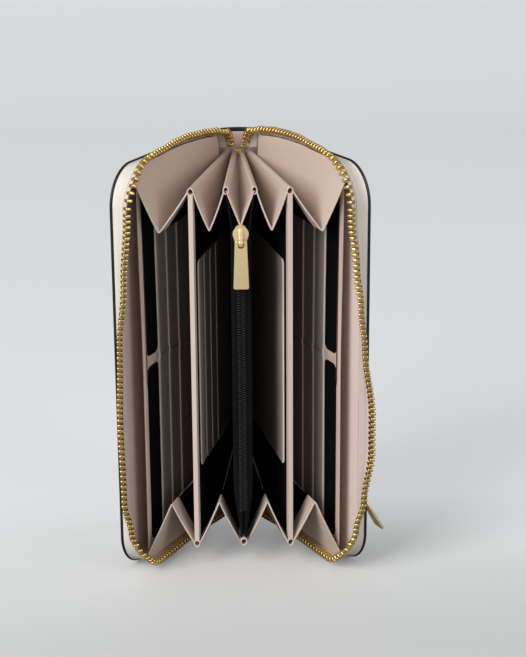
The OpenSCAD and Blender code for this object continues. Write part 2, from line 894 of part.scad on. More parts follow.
divider_pocket(-1, 1, divider_slot_t);  // left_divider_slot_1
divider_pocket(-1, 2, divider_slot_t);  // left_divider_slot_2
divider_pocket(-1, 3, divider_slot_t);  // left_divider_slot_3
divider_pocket(-1, 4, divider_slot_t);  // left_divider_slot_4
divider_panel(1);  // right_divider_panel
divider_pocket(1, 1, slip_t);  // right_slip_pocket
gusset(-1, true, 1);  // gusset_a_top
gusset(-1, false, 1);  // gusset_b_top
gusset(1, false, 1);  // gusset_d_top
gusset(1, true, 1);  // gusset_e_top
gusset(-1, true, -1);  // gusset_a_foot
gusset(-1, false, -1);  // gusset_b_foot
gusset(1, false, -1);  // gusset_d_foot
gusset(1, true, -1);  // gusset_e_foot
back_pocket_bag();
back_zip_tape();
back_zip_coil();
back_slider();
back_pull();
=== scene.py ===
"""Looks for the open zip-around wallet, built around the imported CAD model."""
import json
import math

import bmesh
import bpy
import numpy as np
from mathutils import Matrix, Vector
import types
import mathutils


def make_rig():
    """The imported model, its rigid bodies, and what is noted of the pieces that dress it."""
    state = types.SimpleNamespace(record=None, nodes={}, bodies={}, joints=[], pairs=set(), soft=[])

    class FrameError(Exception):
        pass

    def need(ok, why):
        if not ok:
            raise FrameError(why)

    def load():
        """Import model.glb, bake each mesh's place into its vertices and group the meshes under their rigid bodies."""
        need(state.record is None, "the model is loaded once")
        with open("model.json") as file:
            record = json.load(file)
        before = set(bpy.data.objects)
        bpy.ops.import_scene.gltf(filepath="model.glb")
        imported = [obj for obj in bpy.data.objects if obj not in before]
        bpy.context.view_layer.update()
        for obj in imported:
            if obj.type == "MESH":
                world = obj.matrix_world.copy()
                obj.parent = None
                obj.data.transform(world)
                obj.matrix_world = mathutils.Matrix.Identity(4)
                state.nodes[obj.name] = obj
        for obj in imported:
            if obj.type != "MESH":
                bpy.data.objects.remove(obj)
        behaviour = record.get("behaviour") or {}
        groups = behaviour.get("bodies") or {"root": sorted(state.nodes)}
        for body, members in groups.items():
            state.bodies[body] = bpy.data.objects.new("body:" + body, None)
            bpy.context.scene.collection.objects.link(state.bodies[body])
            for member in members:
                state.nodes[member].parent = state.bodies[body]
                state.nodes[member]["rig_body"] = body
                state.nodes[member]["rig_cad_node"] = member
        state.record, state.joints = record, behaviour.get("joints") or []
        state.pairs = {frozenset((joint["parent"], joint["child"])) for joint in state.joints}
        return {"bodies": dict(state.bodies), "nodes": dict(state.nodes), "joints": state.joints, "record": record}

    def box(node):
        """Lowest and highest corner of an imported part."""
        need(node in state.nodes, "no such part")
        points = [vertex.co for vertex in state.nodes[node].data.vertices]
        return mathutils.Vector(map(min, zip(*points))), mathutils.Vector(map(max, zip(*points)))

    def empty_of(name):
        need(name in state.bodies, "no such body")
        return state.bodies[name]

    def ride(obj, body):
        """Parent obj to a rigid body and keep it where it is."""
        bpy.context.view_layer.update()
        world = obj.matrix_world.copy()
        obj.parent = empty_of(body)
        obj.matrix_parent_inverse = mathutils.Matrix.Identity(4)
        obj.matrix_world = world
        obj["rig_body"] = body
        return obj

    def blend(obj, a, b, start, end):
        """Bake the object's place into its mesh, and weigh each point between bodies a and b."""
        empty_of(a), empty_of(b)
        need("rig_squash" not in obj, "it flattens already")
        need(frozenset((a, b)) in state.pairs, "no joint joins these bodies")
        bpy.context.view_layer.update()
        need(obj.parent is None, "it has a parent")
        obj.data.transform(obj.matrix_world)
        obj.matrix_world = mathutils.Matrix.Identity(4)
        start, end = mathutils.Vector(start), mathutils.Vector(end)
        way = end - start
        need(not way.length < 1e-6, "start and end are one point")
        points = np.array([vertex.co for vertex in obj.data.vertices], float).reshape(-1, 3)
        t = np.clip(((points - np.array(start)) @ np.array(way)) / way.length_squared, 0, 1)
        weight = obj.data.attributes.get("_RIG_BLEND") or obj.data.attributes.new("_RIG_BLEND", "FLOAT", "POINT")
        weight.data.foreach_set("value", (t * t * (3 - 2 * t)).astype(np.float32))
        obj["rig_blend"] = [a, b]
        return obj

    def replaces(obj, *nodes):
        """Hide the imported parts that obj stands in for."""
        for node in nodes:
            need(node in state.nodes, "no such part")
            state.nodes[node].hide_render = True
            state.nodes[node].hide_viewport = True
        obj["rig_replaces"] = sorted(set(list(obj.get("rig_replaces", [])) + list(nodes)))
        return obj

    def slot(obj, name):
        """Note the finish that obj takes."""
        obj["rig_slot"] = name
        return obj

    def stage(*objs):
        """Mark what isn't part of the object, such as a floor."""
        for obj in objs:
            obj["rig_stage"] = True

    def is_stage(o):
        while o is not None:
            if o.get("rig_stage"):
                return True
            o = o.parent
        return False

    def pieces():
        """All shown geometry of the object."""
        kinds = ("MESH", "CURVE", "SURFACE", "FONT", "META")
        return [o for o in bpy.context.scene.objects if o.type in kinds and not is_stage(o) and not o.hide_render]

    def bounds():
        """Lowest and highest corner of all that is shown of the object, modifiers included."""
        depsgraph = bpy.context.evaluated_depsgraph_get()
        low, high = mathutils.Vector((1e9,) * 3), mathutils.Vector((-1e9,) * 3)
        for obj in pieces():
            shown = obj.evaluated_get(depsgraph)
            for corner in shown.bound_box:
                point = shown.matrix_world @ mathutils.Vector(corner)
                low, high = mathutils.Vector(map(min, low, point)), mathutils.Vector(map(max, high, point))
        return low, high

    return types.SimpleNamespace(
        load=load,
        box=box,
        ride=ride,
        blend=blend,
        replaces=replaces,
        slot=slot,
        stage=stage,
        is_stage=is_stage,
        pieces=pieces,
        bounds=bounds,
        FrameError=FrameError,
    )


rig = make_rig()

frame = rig.load()
CAD_BOX = [list(corner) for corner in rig.bounds()]
MM = 0.001
scene = bpy.context.scene

# Main sizes in millimetres, as in the part's source.
COVER_H, COVER_LEN, CORNER_R, COVER_OPEN, SPINE_R = 195.0, 86.0, 18.0, 28.0, 20.0
LEATHER_T, BOARD_T, LINING_T = 1.2, 0.7, 0.5
BAND_INSET, BAND_W, BAND_T, TAPE_W, TAPE_T = 2.6, 7.6, 1.2, 2.2, 0.6
TOOTH_PITCH, TOOTH_W, TOOTH_T = 2.5, 3.0, 2.4
LEAF_OPEN, LEAF_LEN, LEAF_FOOT, LEAF_T, LEAF_SLOT_T = 24.5, 83.5, 9.5, 0.9, 0.7
LEAF_LEAD, LEAF_STEP, SLOT_MARGIN, SLOT_REAR = 14.0, 9.5, 2.0, 8.0
DIVIDER_OPEN, DIVIDER_LEN, DIVIDER_FOOT, DIVIDER_T = 12.3, 80.5, 12.5, 1.4
DIVIDER_REAR, DIVIDER_SLOT_T, POCKET_H, DIVIDER_LEAD, DIVIDER_STEP = 5.0, 0.45, 100.0, 8.0, 10.5
SLIP_T, FOLD_TOP, FOLD_FOOT, GUSSET_T = 0.7, 19.0, 21.0, 0.7
FOLD_SHARE = {1: 0.56, -1: 0.46}
FOOT_LIFT = 1.5
POUCH_HALF, POUCH_FLARE, POUCH_T, COIL_W = 4.3, 6.6, 0.8, 3.4
SLIDER_L, SLIDER_W, SLIDER_FACE_W, PLATE_T, PLATE_GAP = 8.4, 5.4, 7.2, 0.8, 2.2
PIN_R, PIN_GAP, PULL_LEN, PULL_TIP_W, PULL_EYE_W, PULL_T = 0.6, 0.25, 21.5, 7.0, 5.6, 1.2
MAIN_SCALE = 1.15
BACK_ZIP_IN, BACK_ZIP_W, BACK_ZIP_END, BACK_RISE, BACK_LEAN = 10.0, 6.0, 22.5, 10.5, 30.0
GAP = 0.3


def sin_d(a):
    return np.sin(np.radians(a))


def cos_d(a):
    return np.cos(np.radians(a))


MID_Z = COVER_H / 2
FOLD_X, FOLD_Y = SPINE_R * cos_d(COVER_OPEN), SPINE_R - SPINE_R * sin_d(COVER_OPEN)
INSIDE_R = SPINE_R - LEATHER_T - LINING_T
STRIP_HALF, STRIP_T = 8.4, 0.8
STRIP_BACK = SPINE_R - math.sqrt(INSIDE_R ** 2 - STRIP_HALF ** 2) + 0.35
STRIP_FRONT = STRIP_BACK + STRIP_T
LEAF_REAR_X = STRIP_HALF + 2.4 * LEAF_T + GAP
LEAF_REAR_Y = SPINE_R - math.sqrt((INSIDE_R - 0.5) ** 2 - LEAF_REAR_X ** 2)
LEAF_TOP = COVER_H - LEAF_FOOT
DIVIDER_REAR_Y = STRIP_FRONT + 0.55
POCKET_FOOT = MID_Z + 2 - POCKET_H / 2
RIDGE_TOP, RIDGE_FOOT = COVER_H - DIVIDER_FOOT + GUSSET_T, DIVIDER_FOOT + FOOT_LIFT - GUSSET_T
RIDGE_SIDE = DIVIDER_T / 2 + GAP
GUSSET_TUCK = BAND_T / 2 + 2 * GAP
POUCH_REAR, POUCH_REAR_Y, POUCH_ZIP_Y = 1.7, STRIP_FRONT + GAP, 84.2
POUCH_FRONT_Y = POUCH_ZIP_Y - PLATE_GAP / 2 - PLATE_T - GAP
POUCH_TOP, POUCH_FOOT = RIDGE_TOP - FOLD_TOP, DIVIDER_FOOT + FOOT_LIFT + 0.5
POUCH_TAPER, POUCH_FOOT_HALF, POUCH_TAPE_T = 30.0, 1.3, 0.6
POUCH_SLIDER_Z = POUCH_TOP - 3.2
CROWN_R = PIN_R + PIN_GAP + 1.05
PIN_OUT, PIN_UP = PLATE_GAP / 2 + PLATE_T + CROWN_R - GAP, 1.2 - SLIDER_L / 2
RIB_OUT = PIN_OUT - PULL_T / 2 - 0.1
BACK_X = COVER_LEN - BACK_ZIP_IN
BACK_Z = BACK_ZIP_END + BACK_RISE
RUN_LEN = COVER_LEN - CORNER_R
RIM_R = CORNER_R - BAND_INSET
RIM_ARC, RIM_FRONT = RIM_R * math.pi / 2, COVER_H - 2 * CORNER_R
RIM_TOTAL = 2 * RUN_LEN + 2 * RIM_ARC + RIM_FRONT
CHAIN_W = BAND_W + TAPE_W + 0.2 * TOOTH_W
END_Y, END_HALF, TOP_DROP, FOOT_RISE = 12.0, 0.9, 7.5, 9.3
MAIN_Y = END_Y + TOOTH_T + 2 * GAP + MAIN_SCALE * SLIDER_L / 2
LEANS = {
    -1: [(0, 18), (0.03, 30), (0.06, 36), (0.1, 40), (0.13, 39), (0.17, 34), (0.2, 31),
         (0.235, 26), (0.27, 34), (0.36, 46), (0.45, 60), (0.55, 64), (0.67, 61), (0.715, 46),
         (0.765, 8), (0.8, -4), (0.9, -4), (0.975, 5), (1, 5)],
    1: [(0, 21), (0.03, 33), (0.06, 40), (0.09, 43), (0.12, 43), (0.15, 38.5),
        (0.175, 36), (0.2, 30), (0.22, 26), (0.28, 27), (0.34, 40), (0.4, 52), (0.45, 61),
        (0.55, 80), (0.6, 80), (0.67, 64), (0.715, 46), (0.765, 8), (0.8, -4), (0.9, -4),
        (0.975, 5), (1, 5)],
}
SIDES = {-1: "left", 1: "right"}
DIVIDER_SHARE = 0.3964

# Sizes that only the visual model has
BEAD_R, FILLET_T, FRAME_T, BINDING_T, LOOP_T = 0.62, 0.3, 0.35, 2.1, 0.55
SEAM_Z, LEAF_BOW, POCKET_ROUND, COIL_PITCH, END_TEETH = 102.5, 1.0, 2.6, 1.15, 6
POCKET_TAPE_T, STITCH_SINK = 0.38, 0.05


# Shapes that repeat the part's source

def mix(a, b, t):
    return a + (b - a) * t


def curve(a, b, c, t):
    """A curve from a to c that heads for b on the way."""
    return mix(mix(a, b, t), mix(b, c, t), t)


def ease(t):
    t = np.clip(t, 0, 1)
    return t * t * (3 - 2 * t)


def xyz(x, y, z):
    """Points from three coordinates, each an array or one number for all."""
    return np.stack(np.broadcast_arrays(x, y, z), -1).astype(float)


def unit(v):
    return v / np.maximum(np.linalg.norm(v, axis=-1, keepdims=True), 1e-12)


def lean_at(side, s):
    rows = np.array(LEANS[side])
    share = np.asarray(s, float) / RIM_TOTAL
    i = np.clip(np.searchsorted(rows[:, 0], share) - 1, 0, len(rows) - 2)
    t = (share - rows[i, 0]) / (rows[i + 1, 0] - rows[i, 0])
    return mix(rows[i, 1], rows[i + 1, 1], ease(t))


def rim_at(s):
    """The zip's path at length s: forward, height, and the outward direction."""
    s = np.asarray(s, float)
    a = np.clip((s - RUN_LEN) / RIM_ARC, 0, 1) * 90
    b = np.clip((s - RUN_LEN - RIM_ARC - RIM_FRONT) / RIM_ARC, 0, 1) * 90
    half = s < RIM_TOTAL / 2
    out_f = np.where(half, sin_d(a), cos_d(b))
    out_z = np.where(half, cos_d(a), -sin_d(b))
    run = np.where(half, np.minimum(s, RUN_LEN), np.minimum(RIM_TOTAL - s, RUN_LEN))
    front = np.clip(s - RUN_LEN - RIM_ARC, 0, RIM_FRONT)
    f = run + RIM_R * out_f
    z = COVER_H - CORNER_R - front + RIM_R * out_z
    return f, z, out_f, out_z


def rim_point(side, s, w, d):
    """A point of the band or the zip in the cover's frame: w over the cover, d through the band."""
    f, z, out_f, out_z = rim_at(s)
    a = lean_at(side, s)
    over = xyz(out_f * sin_d(a), -cos_d(a), out_z * sin_d(a))
    through = xyz(out_f * cos_d(a), sin_d(a), out_z * cos_d(a))
    foot = xyz(f, -LEATHER_T - BAND_T / 2, z)
    return foot + over * np.asarray(w)[..., None] + through * np.asarray(d)[..., None]


def turned(p, origin_x, origin_y, angle):
    """From a panel's frame (forward, outward, up) to the part's frame, on the right-hand side."""
    p = np.asarray(p, float)
    f, o, z = p[..., 0], p[..., 1], p[..., 2]
    x = origin_x + f * sin_d(angle) + o * cos_d(angle)
    y = -origin_y - f * cos_d(angle) + o * sin_d(angle)
    return xyz(x, y, z)


def on_cover(p):
    return turned(p, FOLD_X, FOLD_Y, COVER_OPEN)


def on_rim(side, s, w, d=0.0):
    return on_cover(rim_point(side, s, w, d))


def on_leaf(p):
    """The leaf's front edge bows a little outward towards its top."""
    p = np.array(p, float)
    p[..., 1] += LEAF_BOW * ease((p[..., 2] - 95) / 85) * np.clip(p[..., 0] / LEAF_LEN, 0, 1) ** 2
    return turned(p, LEAF_REAR_X, LEAF_REAR_Y, LEAF_OPEN)


def on_divider(p):
    return turned(p, DIVIDER_REAR, DIVIDER_REAR_Y, DIVIDER_OPEN)


def outward(place):
    """A panel's outward direction in the part's frame."""
    return place([0, 1, 0]) - place([0, 0, 0])


def end_point(side, up, t, w):
    """The chain's end on the right-hand side, from the cover (0) to the middle (1)."""
    t, w = np.broadcast_arrays(np.asarray(t, float), np.asarray(w, float))
    start, heading = (on_rim(side, -past if up > 0 else RIM_TOTAL + past, w) for past in (0.6, 4.0))
    height = COVER_H - TOP_DROP if up > 0 else FOOT_RISE
    return curve(start, heading, xyz(END_HALF + CHAIN_W + TOOTH_W - w, -END_Y, height), t[..., None])


def end_frame(side, up, t, w):
    along = unit(end_point(side, up, t + 0.125, w) - end_point(side, up, t - 0.125, w))
    aim = end_point(side, up, t, w + 1) - end_point(side, up, t, w - 1)
    over = unit(aim - along * (aim * along).sum(-1, keepdims=True))
    return along, over, np.cross(along, over)


def level(up, drop=0.0):
    """The height of the ridges at the top or the foot, or of a place that lies drop further in."""
    return RIDGE_TOP - drop if up > 0 else RIDGE_FOOT + drop


def divider_ridge(f, side_o, up):
    return on_divider(xyz(DIVIDER_LEN * f, side_o, level(up)))


def zip_ridge(side, f, up):
    s = mix(2.0, RUN_LEN + RIM_ARC / 2, f)
    return on_rim(side, s if up > 0 else RIM_TOTAL - s, BAND_W, -GUSSET_TUCK)


def pouch_ridge(f, up):
    x = mix(POUCH_REAR, POUCH_FLARE if up > 0 else POUCH_FOOT_HALF, f) + GAP
    return xyz(x, -mix(POUCH_REAR_Y, POUCH_FRONT_Y, f), level(up))


def pouch_front_half(z):
    return mix(POUCH_FOOT_HALF, POUCH_HALF, ease((z - POUCH_FOOT) / POUCH_TAPER))


# Mesh helpers

def make(name, verts, faces, materials, face_mats=None, sharp=50, side=1):
    """A mesh object from points in millimetres, mirrored for the left side, with its faces turned outward."""
    mesh = bpy.data.meshes.new(name)
    verts = np.array(verts, float) * [side, 1, 1]
    if side < 0:
        faces = [reversed(f) for f in faces]
    mesh.from_pydata((verts * MM).tolist(), [], [tuple(int(i) for i in f) for f in faces])
    for m in materials:
        mesh.materials.append(m)
    if face_mats is not None:
        mesh.polygons.foreach_set("material_index", np.asarray(face_mats, np.int32))
    mesh.polygons.foreach_set("use_smooth", [True] * len(mesh.polygons))
    bm = bmesh.new()
    bm.from_mesh(mesh)
    bmesh.ops.recalc_face_normals(bm, faces=bm.faces)
    if bm.calc_volume(signed=True) < 0:
        bmesh.ops.reverse_faces(bm, faces=bm.faces)
    bm.to_mesh(mesh)
    bm.free()
    mesh.update()
    mesh.set_sharp_from_angle(angle=math.radians(sharp))
    obj = bpy.data.objects.new(name, mesh)
    scene.collection.objects.link(obj)
    return obj


def rounded_ends(a, axis, r, ends):
    """Adds rows near the ends of a grid, whose last channel falls to zero there as a half round."""
    a = np.moveaxis(a, axis, 0)

    def edge(first, second):
        rows = []
        length = np.linalg.norm(second[..., :3] - first[..., :3], axis=-1, keepdims=True)
        for phi in np.linspace(0, math.pi / 2, 4):
            row = mix(first, second, np.minimum(r * (1 - math.cos(phi)) / np.maximum(length, 1e-9), 0.9))
            row[..., -1] = first[..., -1] * math.sin(phi)
            rows.append(row)
        return rows

    rows = edge(a[0], a[1]) if ends[0] else [a[0]]
    rows += list(a[1:-1])
    rows += edge(a[-1], a[-2])[::-1] if ends[1] else [a[-1]]
    return np.moveaxis(np.array(rows), 0, axis)


def grid_normals(p):
    return unit(np.cross(np.gradient(p, axis=0), np.gradient(p, axis=1)))


def tagged(points, *tags):
    """A grid of points with tag values behind their coordinates."""
    return np.concatenate([points] + [np.broadcast_to(tag, points.shape[:-1])[..., None] for tag in tags], -1)


def soft_sheet(a, t, round_u=(1, 1), round_v=(1, 1)):
    """Points, faces, face sides and point tags of a closed sheet of thickness t on a grid of middle points.

    a holds x, y, z and then any tags; faces on the side of the grid's normal have side 1."""
    a = tagged(a, 1.0)
    a = rounded_ends(a, 0, t / 2, round_u)
    a = rounded_ends(a, 1, t / 2, round_v)
    p, tags, h = a[..., :3], a[..., 3:-1], a[..., -1]
    n, k = h.shape
    offset = grid_normals(p) * (h * t / 2)[..., None]
    verts = np.concatenate([(p + offset).reshape(-1, 3), (p - offset).reshape(-1, 3)])
    vtags = np.concatenate([tags.reshape(n * k, -1)] * 2)
    up = np.arange(n * k).reshape(n, k)
    low = np.where(h < 1e-6, up, up + n * k)
    faces, sides, walls = [], [], []
    for i in range(n - 1):
        for j in range(k - 1):
            faces.append((up[i, j], up[i + 1, j], up[i + 1, j + 1], up[i, j + 1]))
            faces.append((low[i, j], low[i, j + 1], low[i + 1, j + 1], low[i + 1, j]))
            sides += [1, -1]
        walls += [((i + 1, 0), (i, 0)), ((i, k - 1), (i + 1, k - 1))]
    for j in range(k - 1):
        walls += [((0, j), (0, j + 1)), ((n - 1, j + 1), (n - 1, j))]
    for b, c in walls:
        q = tuple(dict.fromkeys((up[b], up[c], low[c], low[b])))
        if len(q) > 2:
            faces.append(q)
            sides.append(0)
    used = np.unique(np.concatenate([np.array(f) for f in faces]))
    new = np.full(len(verts), -1)
    new[used] = np.arange(len(used))
    faces = [tuple(new[list(f)]) for f in faces]
    return verts[used], faces, np.array(sides), vtags[used]


def face_tags(faces, vtags):
    return np.array([vtags[list(f)].mean(0) for f in faces])


def tube(rings):
    """Points and faces of a closed tube through rings of points."""
    n, k = rings.shape[:2]
    faces = [(i * k + j, (i + 1) * k + j, (i + 1) * k + (j + 1) % k, i * k + (j + 1) % k)
             for i in range(n - 1) for j in range(k)]
    faces += [tuple(range(k)), tuple((n - 1) * k + j for j in reversed(range(k)))]
    return rings.reshape(-1, 3), faces


def cord_rings(path, radius, k=8, up=(0, 0, 1)):
    """Rings of k points round a path."""
    along = unit(np.gradient(path, axis=0))
    side = unit(np.cross(along, up))
    over = np.cross(side, along)
    a = np.linspace(0, 2 * math.pi, k, endpoint=False)[None, :, None]
    r = np.broadcast_to(radius, (len(path),))[:, None, None]
    return path[:, None] + r * (np.cos(a) * side[:, None] + np.sin(a) * over[:, None])


def join_parts(parts):
    """Joins (points, faces) or (points, faces, tag) parts: points, faces and each point's tag."""
    verts, faces, tags, base = [], [], [], 0
    for v, f, *tag in parts:
        verts.append(v)
        faces += [tuple(int(i) + base for i in face) for face in f]
        tags.append(np.broadcast_to(tag[0] if tag else 0.0, (len(v),)))
        base += len(v)
    return np.concatenate(verts), faces, np.concatenate(tags)


def settle(obj, body, slot, node=None):
    """Lets a piece ride on its body, and names its slot and the CAD node that it replaces."""
    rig.ride(obj, body)
    if node:
        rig.replaces(obj, node)
    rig.slot(obj, slot)


def piece(name, shape, material, body, slot, node=None, **options):
    """A piece of one material, from points and faces, that rides on a body."""
    settle(make(name, *shape[:2], [material], **options), body, slot, node)


def bend(obj, side, weights, slot, node=None):
    """Bends a piece over the cover's fold: each point takes its share of the cover's angle."""
    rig.blend(obj, "spine", SIDES[side] + "_cover", start=(0, 0, 0), end=(side * 0.02, -0.02, 0))
    obj.data.attributes["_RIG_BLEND"].data.foreach_set("value", np.asarray(weights, np.float32))
    if node:
        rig.replaces(obj, node)
    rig.slot(obj, slot)


def sheet(name, a, t, materials, paint, side, body, slot, node=None, **options):
    """A sheet piece that rides on a body, or else bends over the cover's fold by its first tag.

    paint(sides, tags) gives each face's material."""
    verts, faces, sides, tags = soft_sheet(a, t, **options)
    obj = make(name, verts, faces, materials, paint and paint(sides, face_tags(faces, tags)), side=side)
    if body:
        settle(obj, body, slot, node)
    else:
        bend(obj, side, tags[:, 0], slot, node)


def edge_paint(width):
    """A sheet's paint: the second material within a width of its front edge."""
    return lambda sides, tags: np.where(tags[:, 0] < width, 1, 0)


def cut_out(obj, cutter):
    """Takes a cutter's shape out of a piece, and removes the cutter."""
    cut = obj.modifiers.new("cut", "BOOLEAN")
    cut.object, cut.operation, cut.solver = cutter, "DIFFERENCE", "EXACT"
    graph = bpy.context.evaluated_depsgraph_get()
    mesh = bpy.data.meshes.new_from_object(obj.evaluated_get(graph))
    obj.modifiers.clear()
    obj.data = mesh
    bpy.data.objects.remove(cutter)


def plate(outline, thickness, place, bevel=0.15, segs=2, holes=()):
    """A flat plate from outlines in its own plane, with bevelled edges, placed by a function."""
    bm = bmesh.new()
    edges = []
    for loop in [outline, *holes]:
        vs = [bm.verts.new((p[0], 0, p[1])) for p in loop]
        edges += [bm.edges.new((vs[i], vs[(i + 1) % len(vs)])) for i in range(len(vs))]
    bmesh.ops.triangle_fill(bm, edges=edges, use_beauty=True, use_dissolve=True, normal=(0, -1, 0))
    for v in bmesh.ops.extrude_face_region(bm, geom=list(bm.faces))["geom"]:
        if isinstance(v, bmesh.types.BMVert):
            v.co.y -= thickness
    bmesh.ops.recalc_face_normals(bm, faces=bm.faces)
    if bevel:
        sharp = [e for e in bm.edges if len(e.link_faces) == 2 and e.calc_face_angle(0) > 0.9]
        bmesh.ops.bevel(bm, geom=sharp, offset=bevel, segments=segs, profile=0.6, affect="EDGES", clamp_overlap=True)
    bm.verts.index_update()
    verts = np.array([v.co for v in bm.verts], float)
    faces = [tuple(v.index for v in f.verts) for f in bm.faces]
    bm.free()
    return place(verts), faces


# Materials

def lin(hexa):
    """An sRGB colour in hexadecimal as linear values."""
    c = [int(hexa[i:i + 2], 16) / 255 for i in (1, 3, 5)]
    return tuple(v / 12.92 if v <= 0.04045 else ((v + 0.055) / 1.055) ** 2.4 for v in c) + (1.0,)


class Nodes:
    """Builds one node material step by step."""

    def __init__(self, name):
        self.mat = bpy.data.materials.new(name)
        self.mat.use_nodes = True
        self.tree = self.mat.node_tree
        self.bsdf = self.tree.nodes["Principled BSDF"]
        self.coords = self.add("ShaderNodeTexCoord").outputs["Object"]

    def put(self, socket, value):
        """Links a socket to another node's output, or gives it a constant."""
        if isinstance(value, bpy.types.NodeSocket):
            self.tree.links.new(value, socket)
        else:
            socket.default_value = value

    def add(self, kind, inputs=None, **settings):
        node = self.tree.nodes.new(kind)
        for key, value in settings.items():
            setattr(node, key, value)
        for key, value in (inputs or {}).items():
            self.put(node.inputs[key], value)
        return node

    def noise(self, scale, detail=3.0, rough=0.5, vector=None):
        return self.add("ShaderNodeTexNoise", {
            "Vector": vector or self.coords, "Scale": scale, "Detail": detail, "Roughness": rough}).outputs["Fac"]

    def voronoi(self, scale, feature):
        return self.add("ShaderNodeTexVoronoi", {"Vector": self.coords, "Scale": scale},
                        feature=feature).outputs["Distance"]

    def stretched(self, scale):
        return self.add("ShaderNodeMapping", {"Vector": self.coords, "Scale": scale}).outputs["Vector"]

    def wave(self, scale, direction):
        return self.add("ShaderNodeTexWave", {"Vector": self.coords, "Scale": scale},
                        bands_direction=direction).outputs["Fac"]

    def ramp(self, fac, end, low, high):
        """Two colours, from low at 0 to high at end."""
        node = self.add("ShaderNodeValToRGB", {"Fac": fac})
        for element, place, colour in zip(node.color_ramp.elements, (0.0, end), (low, high)):
            element.position = place
            element.color = colour
        return node.outputs["Color"]

    def span(self, fac, low, high, start=0.0, end=1.0):
        return self.add("ShaderNodeMapRange", {
            "Value": fac, "From Min": start, "From Max": end, "To Min": low, "To Max": high}).outputs["Result"]

    def math(self, kind, a, b):
        return self.add("ShaderNodeMath", {0: a, 1: b}, operation=kind).outputs[0]

    def blend_colours(self, fac, a, b, kind="MIX"):
        return self.add("ShaderNodeMix", {"Factor": fac, 6: a, 7: b}, data_type="RGBA", blend_type=kind).outputs[2]

    def bumps(self, *layers):
        """Stacks (height, strength, distance in mm) layers of bump."""
        normal = None
        for height, strength, distance in layers:
            inputs = {"Height": height, "Strength": strength, "Distance": distance * MM}
            if normal is not None:
                inputs["Normal"] = normal
            normal = self.add("ShaderNodeBump", inputs).outputs["Normal"]
        self.tree.links.new(normal, self.bsdf.inputs["Normal"])

    def set(self, **values):
        names = {"colour": "Base Color", "rough": "Roughness", "metal": "Metallic", "sheen": "Sheen Weight",
                 "sheen_rough": "Sheen Roughness", "specular": "Specular IOR Level"}
        for key, value in values.items():
            self.put(self.bsdf.inputs[names[key]], value)


WHITE, NO_LIGHT = (1, 1, 1, 1), (0, 0, 0, 1)


def leather(name, colour, deep, pebble=0.0, rough=0.5, grain=0.35):
    """Leather with fine grain, soft colour variation and, where asked, pebbles about a millimetre wide."""
    n = Nodes(name)
    patches, fine = n.noise(28, 3), n.noise(2600, 4, 0.6)
    cells, creases = n.voronoi(1150, "SMOOTH_F1"), n.voronoi(620, "DISTANCE_TO_EDGE")
    tone = n.blend_colours(patches, lin(colour), lin(deep))
    pores = n.ramp(creases, 0.05 + 0.05 * pebble, lin(deep), WHITE)
    n.set(colour=n.blend_colours(0.12 + 0.2 * pebble, tone, pores, "MULTIPLY"),
          rough=n.span(fine, rough - 0.08, rough + 0.1), specular=0.4)
    layers = [(fine, 0.25 * grain / 0.35, 0.03), (cells, grain, 0.05)]
    if pebble:
        layers.append((n.ramp(creases, 0.22, NO_LIGHT, WHITE), pebble, 0.14))
    n.bumps(*layers)
    return n.mat


def fabric(name, colour, deep, pitch=0.45, depth=0.07, rough=0.9, sheen=0.15, specular=0.25):
    """A plain weave with warp and weft of the given pitch in millimetres."""
    n = Nodes(name)
    scale = 0.5 / (pitch * MM)
    weave = n.math("MULTIPLY", n.wave(scale, "DIAGONAL"), n.wave(scale, "Z"))
    fuzz, patches = n.noise(3200, 3, 0.7), n.noise(40, 3)
    tone = n.blend_colours(weave, lin(deep), lin(colour))
    tone = n.blend_colours(n.math("MULTIPLY", patches, 0.35), tone, lin(deep))
    n.set(colour=tone, rough=rough, sheen=sheen, sheen_rough=0.5, specular=specular)
    n.bumps((weave, 0.6, depth), (fuzz, 0.3, 0.03))
    return n.mat


def metal(name, colour, deep, rough=0.25, brushed=False, metallic=1.0):
    """Plated metal with soft scratches and slightly duller, deeper patches."""
    n = Nodes(name)
    patches = n.noise(260, 4, 0.6)
    streaks = n.noise(1400, 3, 0.6, n.stretched((1, 1, 0.04) if brushed else (1, 0.3, 1)))
    tone = n.blend_colours(n.math("MULTIPLY", patches, 0.6), lin(colour), lin(deep))
    wear = n.math("ADD", n.math("MULTIPLY", patches, 0.4), n.math("MULTIPLY", streaks, 0.6))
    n.set(colour=tone, metal=metallic, rough=n.span(wear, rough - 0.1, rough + 0.12))
    n.bumps((streaks, 0.3 if brushed else 0.12, 0.012))
    return n.mat


def paint_edge(name, colour, rough=0.35):
    """Edge paint: glossy, with soft lumps."""
    n = Nodes(name)
    lumps, fine = n.noise(420, 3), n.noise(2500, 2)
    n.set(colour=n.blend_colours(n.math("MULTIPLY", lumps, 0.5), lin(colour), lin("#241f1e")),
          rough=n.span(fine, rough - 0.08, rough + 0.12), specular=0.45)
    n.bumps((lumps, 0.3, 0.08), (fine, 0.15, 0.02))
    return n.mat


